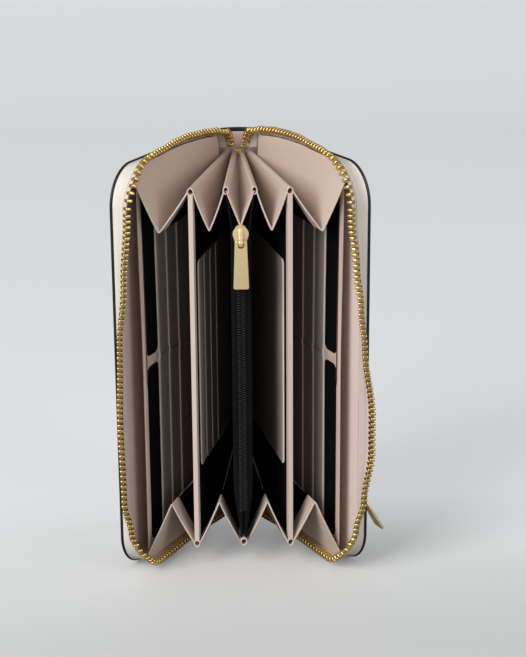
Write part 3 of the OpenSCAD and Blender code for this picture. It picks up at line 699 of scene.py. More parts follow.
CREAM = leather("outer_cream_leather", "#ece3d8", "#e2d7c9", pebble=0.7, rough=0.5)
BAND_OUT = leather("band_cream_leather", "#eee5da", "#e5dacd", pebble=0.25, rough=0.5)
BEIGE = leather("inner_beige_leather", "#cfbcae", "#c6b1a2", rough=0.52)
BAND_IN = leather("band_inner_leather", "#dccdc6", "#d2c2ba", rough=0.52)
# A paler copy of the lining leather for the right cover: painted light that lifts the shade the leaf casts on that
# lining.
LINING_PAINTED_LIGHT = leather("right_lining_leather", "#e2d0c8", "#d9c6bd", rough=0.52)
# A darker copy of the beige leather for the slot and pocket faces: painted shade for the shade deep inside the
# pockets.
SLOT_PAINTED_SHADE = leather("slot_beige_leather", "#b3a196", "#a79489", rough=0.55)
SLOT_HEM = leather("slot_edge_leather", "#f0dfd6", "#e3d0c6", rough=0.45, grain=0.25)
HEM = leather("turned_edge_leather", "#dac7bc", "#d0bcb0", rough=0.45, grain=0.25)
MAUVE = leather("spine_lining_leather", "#c9b0a8", "#bda39b", rough=0.6)
EDGE = paint_edge("black_edge_paint", "#0d0b0b")
BLACK = fabric("black_lining_fabric", "#0b0a0c", "#050405", rough=0.95, sheen=0.0, specular=0.1)
POUCH = fabric("pouch_black_fabric", "#0d0c0f", "#060506", pitch=0.4, sheen=0.02, specular=0.12)
TAPE_BLACK = fabric("black_zip_tape", "#121115", "#09090b", pitch=0.6, depth=0.1, sheen=0.02, specular=0.12)
TAPE = fabric("cream_zip_tape", "#efe3d8", "#dccdc0", pitch=0.7, depth=0.1, sheen=0.1)
THREAD = fabric("cream_thread", "#e9e0d0", "#cfc2ad", pitch=0.3, depth=0.05)
# Brown thread for the slot seams; the same material draws the dark cord of painted shade along each leaf's front edge.
BROWN_THREAD_AND_GAP_SHADE = fabric("brown_thread", "#6b4a40", "#4a322b", pitch=0.3, depth=0.05)
GOLD = metal("gold_zip_teeth", "#f0d48e", "#c9a052", rough=0.26)
PALE = metal("pale_gold_pull", "#ffe6b8", "#ecc98a", rough=0.32, brushed=True, metallic=0.6)
COIL = paint_edge("black_coil_nylon", "#08080a", rough=0.6)
BOARD = leather("stiffening_board", "#9a8f84", "#877b70", rough=0.8)


def dress(node, material):
    """Gives a CAD node that stays in view a node material."""
    data = frame["nodes"][node].data
    data.materials.clear()
    data.materials.append(material)


# Covers

def rim_outline(inset):
    """A cover's outline from its rear top corner round to its rear foot corner: forward, height."""
    r = CORNER_R - inset
    top = [(f, COVER_H - inset) for f in np.linspace(0, RUN_LEN, 18)]
    top += [(RUN_LEN + r * sin_d(t), COVER_H - CORNER_R + r * cos_d(t)) for t in np.linspace(0, 90, 15)[1:-1]]
    front = [(COVER_LEN - inset, z) for z in np.linspace(COVER_H - CORNER_R, CORNER_R, 36)]
    return np.array(top + front + [(f, COVER_H - z) for f, z in reversed(top)])


def arc_points(cx, cz, r, a0, a1, n):
    return [(cx + r * cos_d(a), cz + r * sin_d(a)) for a in np.linspace(a0, a1, n)]


def rectangle(x0, x1, z0, z1):
    return [(x0, z0), (x1, z0), (x1, z1), (x0, z1)]


def low_corners(half, z):
    """An outline's rounded lower corners, left and right."""
    return arc_points(0.9 - half, z + 0.9, 0.9, 185, 270, 6) + arc_points(half - 0.9, z + 0.9, 0.9, 270, 355, 6)


def slot_loop(x, z0, z1, w, r):
    """A rounded slot's outline, w wide, from z0 to z1."""
    pts = []
    for cx, cz, a0 in ((x + w / 2 - r, z1 - r, 0), (x - w / 2 + r, z1 - r, 90),
                       (x - w / 2 + r, z0 + r, 180), (x + w / 2 - r, z0 + r, 270)):
        pts += arc_points(cx, cz, r, a0, a0 + 90, 8)
    return pts


def even_points(path, pitch):
    """Points every pitch along a path, with the path's direction there."""
    s = np.concatenate([[0], np.cumsum(np.linalg.norm(np.diff(path, axis=0), axis=1))])
    at = np.arange(pitch / 2, s[-1] - pitch / 2 + 1e-6, pitch)
    pts, ahead, behind = (np.stack([np.interp(at + d, s, path[:, c]) for c in range(3)], -1) for d in (0, 0.1, -0.1))
    return pts, unit(ahead - behind)


def stitches(name, path, normal, body, slot, material, side, pitch=3.0, length=2.2, radius=0.26):
    """Short sewn stitches along a path, slightly sunk at their ends."""
    t = np.linspace(-1, 1, 5)
    lift = np.outer(radius * 0.6 * (1 - t ** 2) - STITCH_SINK, normal)
    radii = radius * np.array([0.45, 0.85, 1, 0.85, 0.45])
    parts = [tube(cord_rings(p + np.outer(t * length / 2, d) + lift, radii, 6, up=normal))
             for p, d in zip(*even_points(path, pitch))]
    piece(name, join_parts(parts), material, body, slot, side=side)


def cover_leather(name, side):
    insets = np.array([0, 0.9, 1.8, 3.0, 4.5, 7.0, 11.0, 17.0])
    rows = np.array([rim_outline(i) for i in insets]).transpose(1, 0, 2)
    a = tagged(xyz(rows[..., 0], -LEATHER_T / 2, rows[..., 1]), insets)
    verts, faces, sides, tags = soft_sheet(a, LEATHER_T, round_u=(0, 0), round_v=(1, 0))
    inset = face_tags(faces, tags)[:, 0]
    last = np.isclose(tags[:, 0], insets[-1])
    # The walls at the last inset open onto the flat middle, so they go, and two flat faces close it.
    keep = [not (s == 0 and all(last[list(f)])) for f, s in zip(faces, sides)]
    faces = [f for f, k in zip(faces, keep) if k]
    mats = np.where(((sides == 1) & (inset > 0.35)) | ((sides == -1) & (inset > 1)), 0, 1)[keep]
    top = [i for i in np.flatnonzero(last) if verts[i, 1] > -LEATHER_T / 2]
    low = [i for i in np.flatnonzero(last) if verts[i, 1] < -LEATHER_T / 2]
    faces += [tuple(top), tuple(reversed(low)), (top[-1], low[-1], low[0], top[0])]
    return make(f"{name}_cover_leather", on_cover(verts), faces, [CREAM, EDGE], [*mats, 0, 0, 1], side=side)


for side, name in SIDES.items():
    cover = name + "_cover"
    obj = cover_leather(name, side)
    if side > 0:
        loop = slot_loop(BACK_X, BACK_ZIP_END, COVER_H - BACK_ZIP_END, BACK_ZIP_W, 2.2)
        shape = plate(loop, 4.0, lambda v: on_cover(v + [0, 1.5, 0]), bevel=0)
        cut_out(obj, make("cutter", *shape, [EDGE]))
    settle(obj, cover, "outer_leather", name + "_outer_leather")
    path = rim_outline(3.6)
    path = on_cover(xyz(path[:, 0], 0, path[:, 1]))
    stitches(f"{name}_cover_stitches", path, outward(on_cover), cover, "outer_leather", THREAD, side)
    dress(name + "_board", BOARD)
    # The right cover's lining takes the paler copy of the leather, which is painted light.
    dress(name + "_lining", BEIGE if side < 0 else LINING_PAINTED_LIGHT)
dress("accordion_back", BLACK)


# Spine: two halves, each bent towards its own cover

def spine_outside(sides, tags):
    return np.where((sides == 1) & (tags[:, 1] > 0.4) & (tags[:, 1] < COVER_H - 0.4), 0, 1)


def spine_inside(sides, tags):
    """The lining is mauve near the top and the foot, and black in between."""
    return np.where(np.abs(tags[:, 1] - MID_Z) > 80, 0, 1)


angles = np.linspace(90, COVER_OPEN, 25)
for side, name in SIDES.items():
    for label, radius, t, z0, materials, paint, slot in (
            ("spine_leather", SPINE_R - LEATHER_T / 2, LEATHER_T, 0, [CREAM, EDGE], spine_outside, "outer_leather"),
            ("spine_lining", INSIDE_R + LINING_T / 2, LINING_T, 2, [MAUVE, BLACK], spine_inside, "lining_leather")):
        z1 = COVER_H - z0
        heights = np.concatenate([[z0, z0 + 1, z0 + 2.5], np.linspace(z0 + 8, z1 - 8, 24), [z1 - 2.5, z1 - 1, z1]])
        zz, aa = np.meshgrid(heights, angles, indexing="ij")
        a = tagged(xyz(radius * cos_d(aa), -SPINE_R + radius * sin_d(aa), zz),
                   ease((90 - aa) / (90 - COVER_OPEN)), zz)
        sheet(f"{name}_{label}", a, t, materials, paint, side, None, slot, label if side < 0 else None,
              round_v=(0, 0))


# Zip round three sides

def tooth_template():
    """A clamped tooth: x along the chain, y across it towards the other chain, z through it."""
    angles = np.linspace(0, 360, 13)[:-1] + 15
    rings = []
    for y, hx, hz in ((-2.3, 0.5, 0.8), (-2.15, 0.82, 1.1), (-1.6, 0.95, 1.25), (-1.2, 0.88, 1.3), (0.6, 0.84, 1.34),
                      (1.0, 0.82, 1.32), (1.3, 0.76, 1.24), (1.46, 0.58, 1.05), (1.5, 0.35, 0.75)):
        x, z = (np.sign(c) * np.abs(c) ** 0.6 * half for c, half in ((cos_d(angles), hx), (sin_d(angles), hz)))
        rings.append(xyz(x, y, z))
    return tube(np.array(rings))


TOOTH = tooth_template()


def placed_tooth(p, along, over, through):
    return TOOTH[0] @ np.stack([along, over, through]) + p, TOOTH[1]


for side, name in SIDES.items():
    cover = name + "_cover"
    s = np.linspace(0, RIM_TOTAL, 260)
    ss, ww = np.meshgrid(s, np.linspace(0, BAND_W, 9), indexing="ij")
    sheet(f"{name}_zip_band", tagged(on_rim(side, ss, ww), ww), BAND_T, [BAND_IN, BAND_OUT],
          lambda sides, tags: np.where((sides == 1) | (tags[:, 0] > BAND_W - 0.25), 0, 1),
          side, cover, "outer_leather", name + "_side_band", round_u=(0, 0))

    # The band's foot spreads over the cover's margin in a soft curve, and inside the lining runs up onto the band.
    f, z, out_f, out_z = rim_at(s)
    for label, reach, depth, bent, high, material, slot in (
            ("band_foot", BAND_INSET - 0.75, -LEATHER_T - 0.12,
             (0.9, BAND_T / 2 + 0.35), (3.6, BAND_T / 2 - 0.12), BAND_OUT, "outer_leather"),
            ("band_lining", -3.2, -LEATHER_T - BOARD_T - LINING_T + 0.05,
             (0.4, -BAND_T / 2 - 0.25), (3.0, -BAND_T / 2 + 0.1), BAND_IN, "lining_leather")):
        rows = xyz(f + out_f * reach, depth, z + out_z * reach), rim_point(side, s, *bent), rim_point(side, s, *high)
        grid = curve(*(row[:, None] for row in rows), np.linspace(0, 1, 8)[None, :, None])
        sheet(f"{name}_{label}", on_cover(grid), FILLET_T, [material], None, side, cover, slot)

    ss, ww = np.meshgrid(s, np.linspace(BAND_W - 1.2, BAND_W + TAPE_W, 5), indexing="ij")
    strip = soft_sheet(on_rim(side, ss, ww, -0.24), TAPE_T, round_u=(0, 0))[:2]
    bead = tube(cord_rings(on_rim(side, s, BAND_W + TAPE_W), BEAD_R))
    piece(f"{name}_zip_edge_tape", join_parts([strip, bead]), TAPE, cover, "zip_tape", name + "_zip_tape", side=side)

    count = int(RIM_TOTAL // TOOTH_PITCH) - 1
    s = (np.arange(count) + 0.5 + side / 4) * TOOTH_PITCH
    mid = CHAIN_W + TOOTH_W / 2
    p = on_rim(side, s, mid)
    over, through = unit(on_rim(side, s, mid + 1) - p), unit(on_rim(side, s, mid, 1) - p)
    teeth = join_parts([placed_tooth(*rows) for rows in zip(p, np.cross(over, through), over, through)])
    piece(f"{name}_chain", teeth, GOLD, cover, "gold_teeth", name + "_zip_teeth", sharp=70, side=side)

    # The chain's two ends, which dip into the spine.
    tapes, teeth = [], []
    for up in (1, -1):
        t = np.linspace(0, 1, 22)
        tt, ww = np.meshgrid(t, np.linspace(BAND_W - TAPE_W, BAND_W + TAPE_W, 6), indexing="ij")
        v, f, _, tags = soft_sheet(tagged(end_point(side, up, tt, ww), 1 - ease(tt)), TAPE_T)
        tapes.append((v, f, tags[:, 0]))
        bead = tube(cord_rings(end_point(side, up, t, BAND_W + TAPE_W), BEAD_R, up=(1, 0, 0)))
        tapes.append((*bead, np.repeat(1 - ease(t), 8)))
        for i in range(END_TEETH):
            t = (i + 0.6 + side * 0.2) / END_TEETH
            tooth = placed_tooth(end_point(side, up, t, mid), *end_frame(side, up, t, mid))
            teeth.append((*tooth, 1 - ease(t)))
    for parts, label, material, node, slot in (
            (tapes, "zip_end_tape", TAPE, "zip_end_tapes", "zip_tape"),
            (teeth, "zip_end_chain", GOLD, "zip_end_teeth", "gold_teeth")):
        v, f, weight = join_parts(parts)
        obj = make(f"{name}_{label}", v, f, [material], sharp=70, side=side)
        bend(obj, side, weight, slot, node if side < 0 else None)


# Leaves

def panel_grid(place, f0, f1, z0, z1, o, nf=12, edge=None):
    """A grid over a panel from its rear edge to its front edge, which edge(z) draws back."""
    close = np.array([0, 0.15, 0.4, 0.8, 1.3, 2.0])
    z = np.concatenate([z0 + close, np.linspace(z0 + 3, SEAM_Z - 4, 20), np.linspace(SEAM_Z - 3, SEAM_Z + 3, 7),
                        np.linspace(SEAM_Z + 4, z1 - 3, 20), z1 - close[::-1]])
    share = np.concatenate([np.linspace(0, 0.9, nf), [0.93, 0.96, 0.98, 1.0]])
    zz, ff = np.meshgrid(z, share, indexing="ij")
    front = f1 - (edge(zz) if edge else 0)
    f = mix(f0, front, ff)
    return tagged(place(xyz(f, o, zz)), front - f)


def round_ends(z):
    """How far a pocket's front edge is drawn back at its rounded top and foot."""
    past = np.clip(np.abs(z - POCKET_FOOT - POCKET_H / 2) - POCKET_H / 2 + POCKET_ROUND, 0, POCKET_ROUND)
    return POCKET_ROUND - np.sqrt(np.maximum(POCKET_ROUND ** 2 - past ** 2, 0))


def seam_pinch(z):
    """How far a slot's front edge is drawn back at the seam across its middle."""
    return 0.7 * np.exp(-((z - SEAM_Z) / 1.6) ** 2)


for side, name in SIDES.items():
    body = name + "_leaf"
    a = panel_grid(on_leaf, 0, LEAF_LEN, LEAF_FOOT, LEAF_TOP, -LEAF_T / 2, nf=16)
    sheet(body + "_sheet", a, LEAF_T, [BEIGE, HEM, BLACK],
          lambda sides, tags: np.select([tags[:, 0] < 1.4, sides == -1], [1, 2], 0),
          side, body, "lining_leather", body + "_panel", round_v=(0, 1))
    # A thin leather frame round two openings, with a bridge between them.
    front, rear = LEAF_LEN - 0.2, LEAF_LEN - LEAF_LEAD - 0.4
    outline = rectangle(rear, front, LEAF_FOOT + 1, LEAF_TOP - 1)
    holes = [slot_loop(LEAF_LEN - 8.3, z0, z1, 12.2, 3.4)
             for z0, z1 in ((LEAF_FOOT + 4, SEAM_Z - 2.4), (SEAM_Z + 2.4, LEAF_TOP - 4))]
    shape = plate(outline, FRAME_T, lambda v: on_leaf(v + [0, -LEAF_T, 0]), bevel=0.1, holes=holes)
    piece(body + "_frame", shape, BEIGE, body, "lining_leather", side=side)
    for n in (1, 2, 3):
        front = LEAF_LEN - LEAF_LEAD - (n - 1) * LEAF_STEP
        o = -LEAF_T - (n - 0.5) * LEAF_SLOT_T
        a = panel_grid(on_leaf, SLOT_REAR, front, LEAF_FOOT + SLOT_MARGIN, LEAF_TOP - SLOT_MARGIN, o, edge=seam_pinch)
        # The slot faces take the darker leather, which is painted shade.
        sheet(f"{body}_slot_{n}", a, LEAF_SLOT_T - 0.04, [SLOT_PAINTED_SHADE, SLOT_HEM], edge_paint(1.0),
              side, body, "lining_leather", f"{name}_card_slot_{n}", round_v=(0, 1))
        step = LEAF_STEP if n < 3 else 16
        line = on_leaf(xyz(np.linspace(front - step + 1, front - 1.2, 12), o - LEAF_SLOT_T / 2, SEAM_Z))
        stitches(f"{body}_seam_{n}", line, -outward(on_leaf), body, "lining_leather", BROWN_THREAD_AND_GAP_SHADE, side,
                 pitch=2.4, length=1.7, radius=0.22)
    # A brown cord on the leaf's outer side along its front edge: painted shade, a dark line for the shaded gap between
    # the leaf and the band.
    path = on_leaf(xyz(LEAF_LEN - 1.9, -LEAF_T - 0.4, np.linspace(LEAF_FOOT + 2, LEAF_TOP - 2, 60)))
    piece(body + "_front_seam", tube(cord_rings(path, 0.32)), BROWN_THREAD_AND_GAP_SHADE, body, "lining_leather", side=side)


# Dividers

for side, name in SIDES.items():
    body = name + "_divider"
    foot, top = DIVIDER_FOOT + FOOT_LIFT, COVER_H - DIVIDER_FOOT
    a = panel_grid(on_divider, 0, DIVIDER_LEN, foot, top, 0.0, nf=16)
    sheet(body + "_sheet", a, DIVIDER_T, [BLACK, HEM], edge_paint(4.2),
          side, body, "lining_leather", body + "_panel", round_v=(0, 1))
    a = panel_grid(on_divider, DIVIDER_LEN - 4.5, DIVIDER_LEN + 0.25, foot + 0.3, top - 0.3, 0.0, nf=5)
    sheet(body + "_binding", a, BINDING_T, [HEM], None, side, body, "lining_leather")
    count, t = (4, DIVIDER_SLOT_T) if side < 0 else (1, SLIP_T)
    for n in range(1, count + 1):
        front = DIVIDER_LEN - DIVIDER_LEAD - (n - 1) * DIVIDER_STEP
        a = panel_grid(on_divider, SLOT_REAR, front, POCKET_FOOT, POCKET_FOOT + POCKET_H,
                       -DIVIDER_T / 2 - (n - 0.5) * t, edge=round_ends)
        label, node = ((f"left_divider_pocket_{n}", f"left_divider_slot_{n}") if side < 0
                       else ("right_slip_pocket_sheet", "right_slip_pocket"))
        # The pocket faces take the darker leather, which is painted shade.
        sheet(label, a, t - 0.03, [SLOT_PAINTED_SHADE, SLOT_HEM], edge_paint(0.9), side, body, "lining_leather", node,
              round_v=(0, 1))


# Gussets

def folded_rows(rows, handle=2.0, steps=9, arc=6):
    """Turns rows of [ridge, fold, ridge] into finer rows with a rounded fold; returns points and shares."""
    a, p, c = rows[:, 0], rows[:, 1], rows[:, 2]
    la, lc = (np.linalg.norm(v, axis=1, keepdims=True) for v in (p - a, c - p))
    h = np.minimum(handle, np.minimum(la, lc) * 0.4)
    pa, pc = p + (a - p) * h / la, p + (c - p) * h / lc
    cols = [(mix(a, pa, i / steps), i / steps * 0.5) for i in range(steps)]
    cols += [(curve(pa, p, pc, i / arc), 0.5) for i in range(arc + 1)]
    cols += [(mix(pc, c, i / steps), 0.5 + i / steps * 0.5) for i in range(1, steps + 1)]
    return np.stack([points for points, _ in cols], 1), np.array([share for _, share in cols])


def gusset(label, side, outside, up):
    f = np.concatenate([np.linspace(0, 0.93, 18), [0.95, 0.965, 0.98, 1.0]])
    a = divider_ridge(f, RIDGE_SIDE, up) if outside else pouch_ridge(f, up)
    c = zip_ridge(side, f, up) if outside else divider_ridge(f, -RIDGE_SIDE, up)
    p = mix(a, c, FOLD_SHARE[up] if outside else 0.5)
    p[:, 2] = level(up, FOLD_TOP if up > 0 else FOLD_FOOT)
    pts, across = folded_rows(np.stack([a, p, c], 1))
    # Leather bows a little between its folds, more towards the front.
    bow = 0.7 * np.sin(np.pi * np.abs(across * 2 - 1)) * f[:, None]
    pts = pts + grid_normals(pts) * (up * GUSSET_T / 2 - bow * 0.4)[..., None]
    share = mix(DIVIDER_SHARE, 1.0, across) if outside else mix(0.0, DIVIDER_SHARE, across)
    depth = DIVIDER_LEN * (1 - f)
    sheet(f"gusset_{label}", tagged(pts, share, depth[:, None]), GUSSET_T, [BEIGE, HEM, BLACK],
          lambda sides, tags: np.select([tags[:, 1] < 0.9, (sides != up) & (tags[:, 1] > 9)], [1, 2], 0),
          side, None, "lining_leather", f"gusset_{label}", round_u=(0, 1))


for up, end in ((1, "top"), (-1, "foot")):
    for letter, side, outside in (("a", -1, True), ("b", -1, False), ("d", 1, False), ("e", 1, True)):
        gusset(f"{letter}_{end}", side, outside, up)


LOOP = [(0, 1.85), (0.8, 1.2), (1.25, 0.1), (0.9, -1.2), (0, -1.9), (-0.9, -1.2), (-1.25, 0.1), (-0.8, 1.2)]


def fold_loop(name, centres, right, body, side, width=1.0, turn=1, node=None):
    """A narrow folded tunnel of leather along a row of centres, open at its front end."""
    ring = np.array(LOOP + LOOP[:1]) * [width, turn]
    fine = np.linspace(0, len(ring) - 1, 33)
    line = np.stack([np.interp(fine, np.arange(len(ring)), ring[:, c]) for c in (0, 1)], -1)
    for _ in range(3):
        inner = line[:-1]
        line[:-1] = (np.roll(inner, 1, 0) + 2 * inner + np.roll(inner, -1, 0)) / 4
        line[-1] = line[0]
    depth = np.linalg.norm(centres[-1] - centres, axis=1)
    grid = centres[:, None] + line[:, :1] * np.asarray(right) + line[:, 1:] * np.array([0, 0, 1])
    sheet(name, tagged(grid, depth[:, None]), LOOP_T, [BEIGE, HEM], edge_paint(1.2),
          side, body, "lining_leather", node, round_v=(0, 0))


def row_shares(length, tail=4.0):
    return np.concatenate([np.linspace(0, 1 - tail / length, 12), 1 - np.array([2.4, 1.2, 0.5, 0]) / length])


f = row_shares(DIVIDER_LEN)
for side, name in SIDES.items():
    body = name + "_divider"
    for up, end in ((1, "top"), (-1, "foot")):
        centres = on_divider(xyz(DIVIDER_LEN * f + 0.15, 0, level(up, -0.35)))
        fold_loop(f"{body}_{end}_loop", centres, outward(on_divider), body, side, width=1.2, turn=up)


# Coin pouch

heights = mix(POUCH_FOOT, POUCH_TOP, np.linspace(0, 1, 34))
for side, name in SIDES.items():
    zz, tt = np.meshgrid(heights, np.linspace(0, 1, 14), indexing="ij")
    belly = 0.2 * np.sin(math.pi * tt) * np.sin(math.pi * (zz - POUCH_FOOT) / (POUCH_TOP - POUCH_FOOT))
    x = mix(POUCH_REAR, pouch_front_half(zz), tt) - POUCH_T / 2 + belly
    wall = xyz(x, -mix(POUCH_REAR_Y, POUCH_FRONT_Y + 0.6, tt), zz)
    sheet(f"pouch_side_{name}", wall, POUCH_T, [POUCH], None, side, "spine", "black_fabric", f"pouch_wall_{name}")

# The zip's tape turns round the pouch's front edges, and its two halves meet under the coil.
for side, name in SIDES.items():
    zz, tt = np.meshgrid(heights, np.linspace(0, 1, 12), indexing="ij")
    h = pouch_front_half(zz)
    r = np.minimum(1.2, h * 0.5)
    slit = 0.35 + 0.95 * ease((zz - POUCH_SLIDER_Z + 3.5) / 3)
    run = tt * 1.6
    turn = (run - 1) / 0.6 * math.pi / 2
    x = np.where(run < 1, mix(np.minimum(slit, h - r), h - r, run), h - r + r * np.sin(turn))
    y = POUCH_ZIP_Y - 0.35 - np.where(run < 1, 0, r * (1 - np.cos(turn)))
    sheet(f"pouch_zip_tape_{name}", xyz(x, -y, zz), POUCH_TAPE_T, [TAPE_BLACK], None,
          side, "spine", "black_fabric", "pouch_zip_tape" if side < 0 else None)


def coil(y0, z0, z1, height, wire):
    """Two rows of nylon loops, meshed down the middle."""
    a = np.linspace(-0.15, 1.15, 9) * math.pi
    parts = []
    for i in range(int((z1 - z0) / COIL_PITCH)):
        for s in (-1, 1):
            path = xyz(s * (COIL_W / 4 + 0.1 - np.cos(a) * COIL_W / 4), y0 - np.sin(a) * height * 0.5,
                       z0 + (i + 0.5 + s * 0.25) * COIL_PITCH)
            parts.append(tube(cord_rings(path, wire, 6)))
    return join_parts(parts)[:2]


loops = coil(-POUCH_ZIP_Y - 0.25, POUCH_FOOT + POUCH_TAPER / 2, POUCH_SLIDER_Z - PIN_UP - GAP, 1.0, 0.27)
piece("pouch_coil", loops, COIL, "spine", "black_fabric", "pouch_zip_coil")

# The pouch's flared top end: two wall ends and the V between them.
f = np.concatenate([np.linspace(0, 0.94, 16), [0.96, 0.98, 1.0]])
for side, name in SIDES.items():
    ridge = pouch_ridge(f, 1)
    low = xyz(mix(POUCH_REAR, POUCH_HALF, f), ridge[:, 1], POUCH_TOP + GAP)
    t = np.linspace(0, 1, 8)[None, :, None]
    grid = mix(low[:, None], (ridge - [GAP, 0, 0])[:, None], t) - [POUCH_T / 2, 0, 0]
    sheet(f"pouch_flare_{name}", grid, POUCH_T, [POUCH], None,
          side, "spine", "black_fabric", "pouch_top_end" if side < 0 else None)
f = np.concatenate([np.linspace(0.03, 0.94, 18), [0.96, 0.98, 1.0]])
x, y, z = (pouch_ridge(f, 1) - [GAP, 0, 0]).T
rows = [xyz(-x, y, z), xyz(0, y, z - (FOLD_TOP - GAP - 2 * GUSSET_T) * f), xyz(x, y, z)]
pts, _ = folded_rows(np.stack(rows, 1), handle=1.6)
pts = pts + grid_normals(pts) * GUSSET_T / 2
depth = DIVIDER_LEN * (1 - f)
sheet("pouch_top_fold", tagged(pts, depth[:, None]), GUSSET_T, [BEIGE, HEM, BLACK],
      lambda sides, tags: np.select([tags[:, 0] < 0.9, (sides != 1) & (tags[:, 0] > 3)], [1, 2], 0),
      1, "spine", "lining_leather", round_u=(0, 1))

f = row_shares(POUCH_FRONT_Y - POUCH_REAR_Y)
y = -mix(POUCH_REAR_Y, POUCH_FRONT_Y, f)
for side, name in SIDES.items():
    centres = xyz(mix(POUCH_REAR, POUCH_FLARE, f) - 0.2, y, RIDGE_TOP + 0.35)
    fold_loop(f"pouch_ridge_{name}", centres, (1, 0, 0), "spine", side)

# The loop under the pouch's foot reaches forward, past the pouch's front.
centres = xyz(0, np.where(f > 0.9, y - 3.9 * ease((f - 0.9) / 0.05), y), RIDGE_FOOT + 0.9)
fold_loop("pouch_foot_loop", centres, (1, 0, 0), "spine", 1, width=1.25, turn=-1, node="pouch_foot_end")


# Sliders and pulls

def slider_mesh():
    """A slider at its own origin: x right, faces -y, closes by moving up."""
    parts = []

    def add(outline, t, place, bevel, holes=()):
        parts.append(plate(outline, t, place, bevel, holes=holes))

    half, top = SLIDER_L / 2, PLATE_GAP / 2
    r = SLIDER_FACE_W / 2
    face = arc_points(0, half - r, r, -20, 200, 31) + [(-r * 0.86, -1.6)]
    add(face + low_corners(r * 0.72, -half) + [(r * 0.86, -1.6)], PLATE_T, lambda v: v + [0, -top, 0], 0.3)
    r = SLIDER_W / 2
    back = arc_points(0, half - r, r, 0, 180, 19) + [(-r, -half), (r, -half)]
    add(back, PLATE_T, lambda v: v + [0, top + PLATE_T, 0], 0.25)
    add(rectangle(-0.8, 0.8, half - 1.6, half - 0.3), PLATE_GAP + PLATE_T, lambda v: v + [0, top + PLATE_T / 2, 0], 0)
    for x in (-SLIDER_W / 2, SLIDER_W / 2 - 0.5):
        add(rectangle(x, x + 0.5, -half, 0), 0.7 + PLATE_T / 2, lambda v: v + [0, -top + 0.7, 0], 0)
    out = top + PLATE_T * 0.7
    crown = [(out, PIN_UP - CROWN_R), (PIN_OUT, PIN_UP - CROWN_R)]
    crown += arc_points(PIN_OUT, PIN_UP, CROWN_R, -80, 75, 15)
    crown += [(RIB_OUT + 0.25, PIN_UP + 2.15), (RIB_OUT, PIN_UP + 2.8), (RIB_OUT - 0.1, half - 2.2),
              (RIB_OUT - 0.5, half - 1.2), (out, half - 0.7)]
    hole = arc_points(PIN_OUT, PIN_UP, PIN_R + PIN_GAP, 0, 360, 21)[:-1]
    add(crown, 1.8, lambda v: xyz(v[:, 1] + 0.9, -v[:, 0], v[:, 2]), 0.3, [hole])
    return join_parts(parts)[:2]


def pull_mesh():
    """A pull that hangs from a bar at its own origin, in the plane y = 0."""
    arm, eye, drop = PIN_R + PIN_GAP, 1.2, CROWN_R + 0.6
    w, tip = PULL_EYE_W / 2, PULL_TIP_W / 2
    outline = [(-w + 0.5, arm), (-w * 0.98, arm - 0.6)]
    outline += low_corners(tip, -PULL_LEN) + [(w * 0.98, arm - 0.6), (w - 0.5, arm)]
    outline += [(eye, arm), (eye, -drop + 0.5), (eye - 0.5, -drop), (-eye + 0.5, -drop), (-eye, -drop + 0.5),
                (-eye, arm)]
    tab = plate(outline, PULL_T, lambda v: v + [0, PULL_T / 2, 0], bevel=0.34, segs=3)
    bar = tube(cord_rings(xyz([-eye - 0.25, 0, eye + 0.25], 0, 0), PIN_R - 0.02, 16))
    return join_parts([tab, bar])[:2]


def tipped(v, angle):
    c, s = cos_d(angle), sin_d(angle)
    return xyz(v[:, 0], v[:, 1] * c - v[:, 2] * s, v[:, 1] * s + v[:, 2] * c)


def at_pouch(v):
    return v + [0, -POUCH_ZIP_Y, POUCH_SLIDER_Z - PIN_UP]


def at_main(v):
    return tipped(v * MAIN_SCALE, 90) + [0, -MAIN_Y, FOOT_RISE]


def at_back(v):
    return on_cover(xyz(BACK_X - v[:, 0], -0.6 - v[:, 1], BACK_Z + PIN_UP + v[:, 2]))


slider_v, slider_f = slider_mesh()
pull_v, pull_f = pull_mesh()
HANG, FACE_DOWN = np.array([0, -PIN_OUT, PIN_UP]), [1, 1, -1]
for name, node, body, v, f in (
        ("pouch_slider_body", "pouch_slider", "pouch_slider", at_pouch(slider_v), slider_f),
        ("pouch_pull_tab", "pouch_pull", "pouch_pull", at_pouch(pull_v + HANG), pull_f),
        ("main_slider_body", "main_slider", "spine", at_main(slider_v), slider_f),
        ("main_pull_tab", "main_pull", "main_pull", at_main(tipped(pull_v, 180) + HANG), pull_f),
        ("back_slider_body", "back_slider", "back_slider", at_back(slider_v * FACE_DOWN), slider_f),
        ("back_pull_tab", "back_pull", "back_pull",
         at_back(tipped(pull_v, -BACK_LEAN) + HANG * FACE_DOWN), pull_f)):
    piece(name, (v, f), PALE, body, "pale_gold", node, sharp=35)

# Top stop: a small clamped U.
low, high = (np.array(corner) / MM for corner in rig.box("zip_top_stop"))
outline = slot_loop((low[0] + high[0]) / 2, low[2], high[2], high[0] - low[0], 0.7)
shape = plate(outline, high[1] - low[1], lambda v: v + [0, high[1], 0], bevel=0.35)
piece("zip_stop", shape, GOLD, "spine", "gold_teeth", "zip_top_stop", sharp=35)

# Back pocket: tape with a turned edge and a coil behind the leather's window.
outer = slot_loop(BACK_X, BACK_ZIP_END - 1.2, COVER_H - BACK_ZIP_END + 1.2, BACK_ZIP_W + 2.4, 3)
slit = rectangle(BACK_X - 0.35, BACK_X + 0.35, BACK_ZIP_END + 0.6, BACK_Z + 4)
shape = plate(outer, POCKET_TAPE_T, lambda v: on_cover(v + [0, -LEATHER_T - 0.01, 0]), bevel=0.05, holes=[slit])
piece("back_pocket_tape", shape, TAPE, "right_cover", "zip_tape", "back_zip_tape")
v, f = coil(0, BACK_Z + PIN_UP + SLIDER_L / 2 + GAP, COVER_H - BACK_ZIP_END, 0.7, 0.25)
v = on_cover(xyz(BACK_X + v[:, 0], -LEATHER_T + 0.25 - v[:, 1] * 0.8, v[:, 2]))
piece("back_pocket_coil", (v, f), GOLD, "right_cover", "gold_teeth", "back_zip_coil")
dress("back_pocket_bag", BLACK)


# Floor, lights and camera

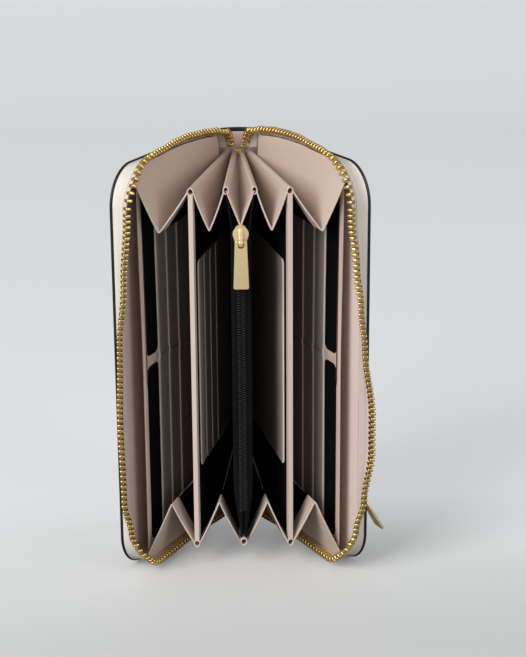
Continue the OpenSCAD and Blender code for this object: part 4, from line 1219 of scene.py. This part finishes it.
def stage_material():
    """Paper that the camera sees paler than the light does, darker towards the front as painted shade, and glowing
    behind the wallet, which keeps the backdrop pale and, as painted light, lightens the wallet's cast shadow.
    """
    n = Nodes("studio_paper")
    seen = n.add("ShaderNodeLightPath").outputs["Is Camera Ray"]
    depth = n.add("ShaderNodeSeparateXYZ", {"Vector": n.coords}).outputs["Y"]
    # near darkens the floor in front of the wallet as painted shade; far is the glow's share, painted light that also
    # lifts the wallet's shadow.
    near, far = n.span(depth, 0.0, 1.0, -0.02, -0.16), n.span(depth, 0.0, 0.58, -0.09, 0.0)
    shown = n.blend_colours(near, lin("#fcfdfd"), lin("#dddddd"))
    n.set(colour=n.blend_colours(seen, lin("#8e9091"), shown), rough=0.42, specular=0.3)
    n.bumps((n.noise(9, 3), 0.04, 0.3))
    glow = n.add("ShaderNodeEmission", {"Color": lin("#e3e6e8"), "Strength": 1.0}).outputs["Emission"]
    both = n.add("ShaderNodeMixShader", {"Fac": n.math("MULTIPLY", seen, far), 1: n.bsdf.outputs["BSDF"], 2: glow})
    n.put(n.tree.nodes["Material Output"].inputs["Surface"], both.outputs["Shader"])
    return n.mat


turn = np.linspace(0, 90, 24)
sweep = [(-2200, 0), (-1000, 0), (0, 0), (700, 0)]
sweep += [(900 + 700 * sin_d(a), 700 - 700 * cos_d(a)) for a in turn] + [(1600, 2600)]
xs = np.linspace(-2600, 2600, 9)
cols = len(xs)
verts = [(x, y, z) for y, z in sweep for x in xs]
faces = [(i * cols + j, i * cols + j + 1, (i + 1) * cols + j + 1, (i + 1) * cols + j)
         for i in range(len(sweep) - 1) for j in range(cols - 1)]
backdrop = make("studio_backdrop", verts, faces, [stage_material()], sharp=60)
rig.stage(backdrop)


def light(name, place, size, power):
    """A rectangular light that aims at the wallet's middle."""
    data = bpy.data.lights.new(name, "AREA")
    data.shape = "RECTANGLE"
    data.size, data.size_y = size[0] * MM, size[1] * MM
    data.energy = power
    obj = bpy.data.objects.new(name, data)
    scene.collection.objects.link(obj)
    obj.location = Vector(place) * MM
    obj.rotation_euler = (Vector((0, 0, 90)) - Vector(place)).to_track_quat("-Z", "Y").to_euler()


light("key", (-1050, -1150, 950), (900, 1300), 26)
light("fill", (1300, -1100, 700), (900, 1200), 8)
world = bpy.data.worlds.new("studio")
scene.world = world
world.use_nodes = True
background = world.node_tree.nodes["Background"]
background.inputs["Color"].default_value = (0.95, 0.98, 1.0, 1)
background.inputs["Strength"].default_value = 0.42

CAMERA_AT, PITCH, YAW, ROLL, FOCAL_PX = (-8.29, -850.0, 375.03), 18.437, 1.344, -0.381, 1779.5
FRAME_W = 526
ahead = Vector((sin_d(YAW) * cos_d(PITCH), cos_d(YAW) * cos_d(PITCH), -sin_d(PITCH)))
right = Vector((cos_d(YAW), -sin_d(YAW), 0))
above = right.cross(ahead)
r2 = right * cos_d(ROLL) + above * sin_d(ROLL)
u2 = above * cos_d(ROLL) - right * sin_d(ROLL)
data = bpy.data.cameras.new("camera")
data.sensor_fit = "HORIZONTAL"
data.sensor_width = 36
data.lens = FOCAL_PX / FRAME_W * 36
data.clip_start, data.clip_end = 0.05, 20
camera = bpy.data.objects.new("camera", data)
scene.collection.objects.link(camera)
place = Matrix([r2, u2, -ahead]).transposed().to_4x4()
place.translation = Vector(CAMERA_AT) * MM
camera.matrix_world = place
scene.camera = camera
scene.view_settings.view_transform = "Standard"

with open("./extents.json", "w") as out:
    json.dump({"cad": CAD_BOX, "visual": [list(corner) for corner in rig.bounds()]}, out,
              default=lambda v: [float(i) for i in v])
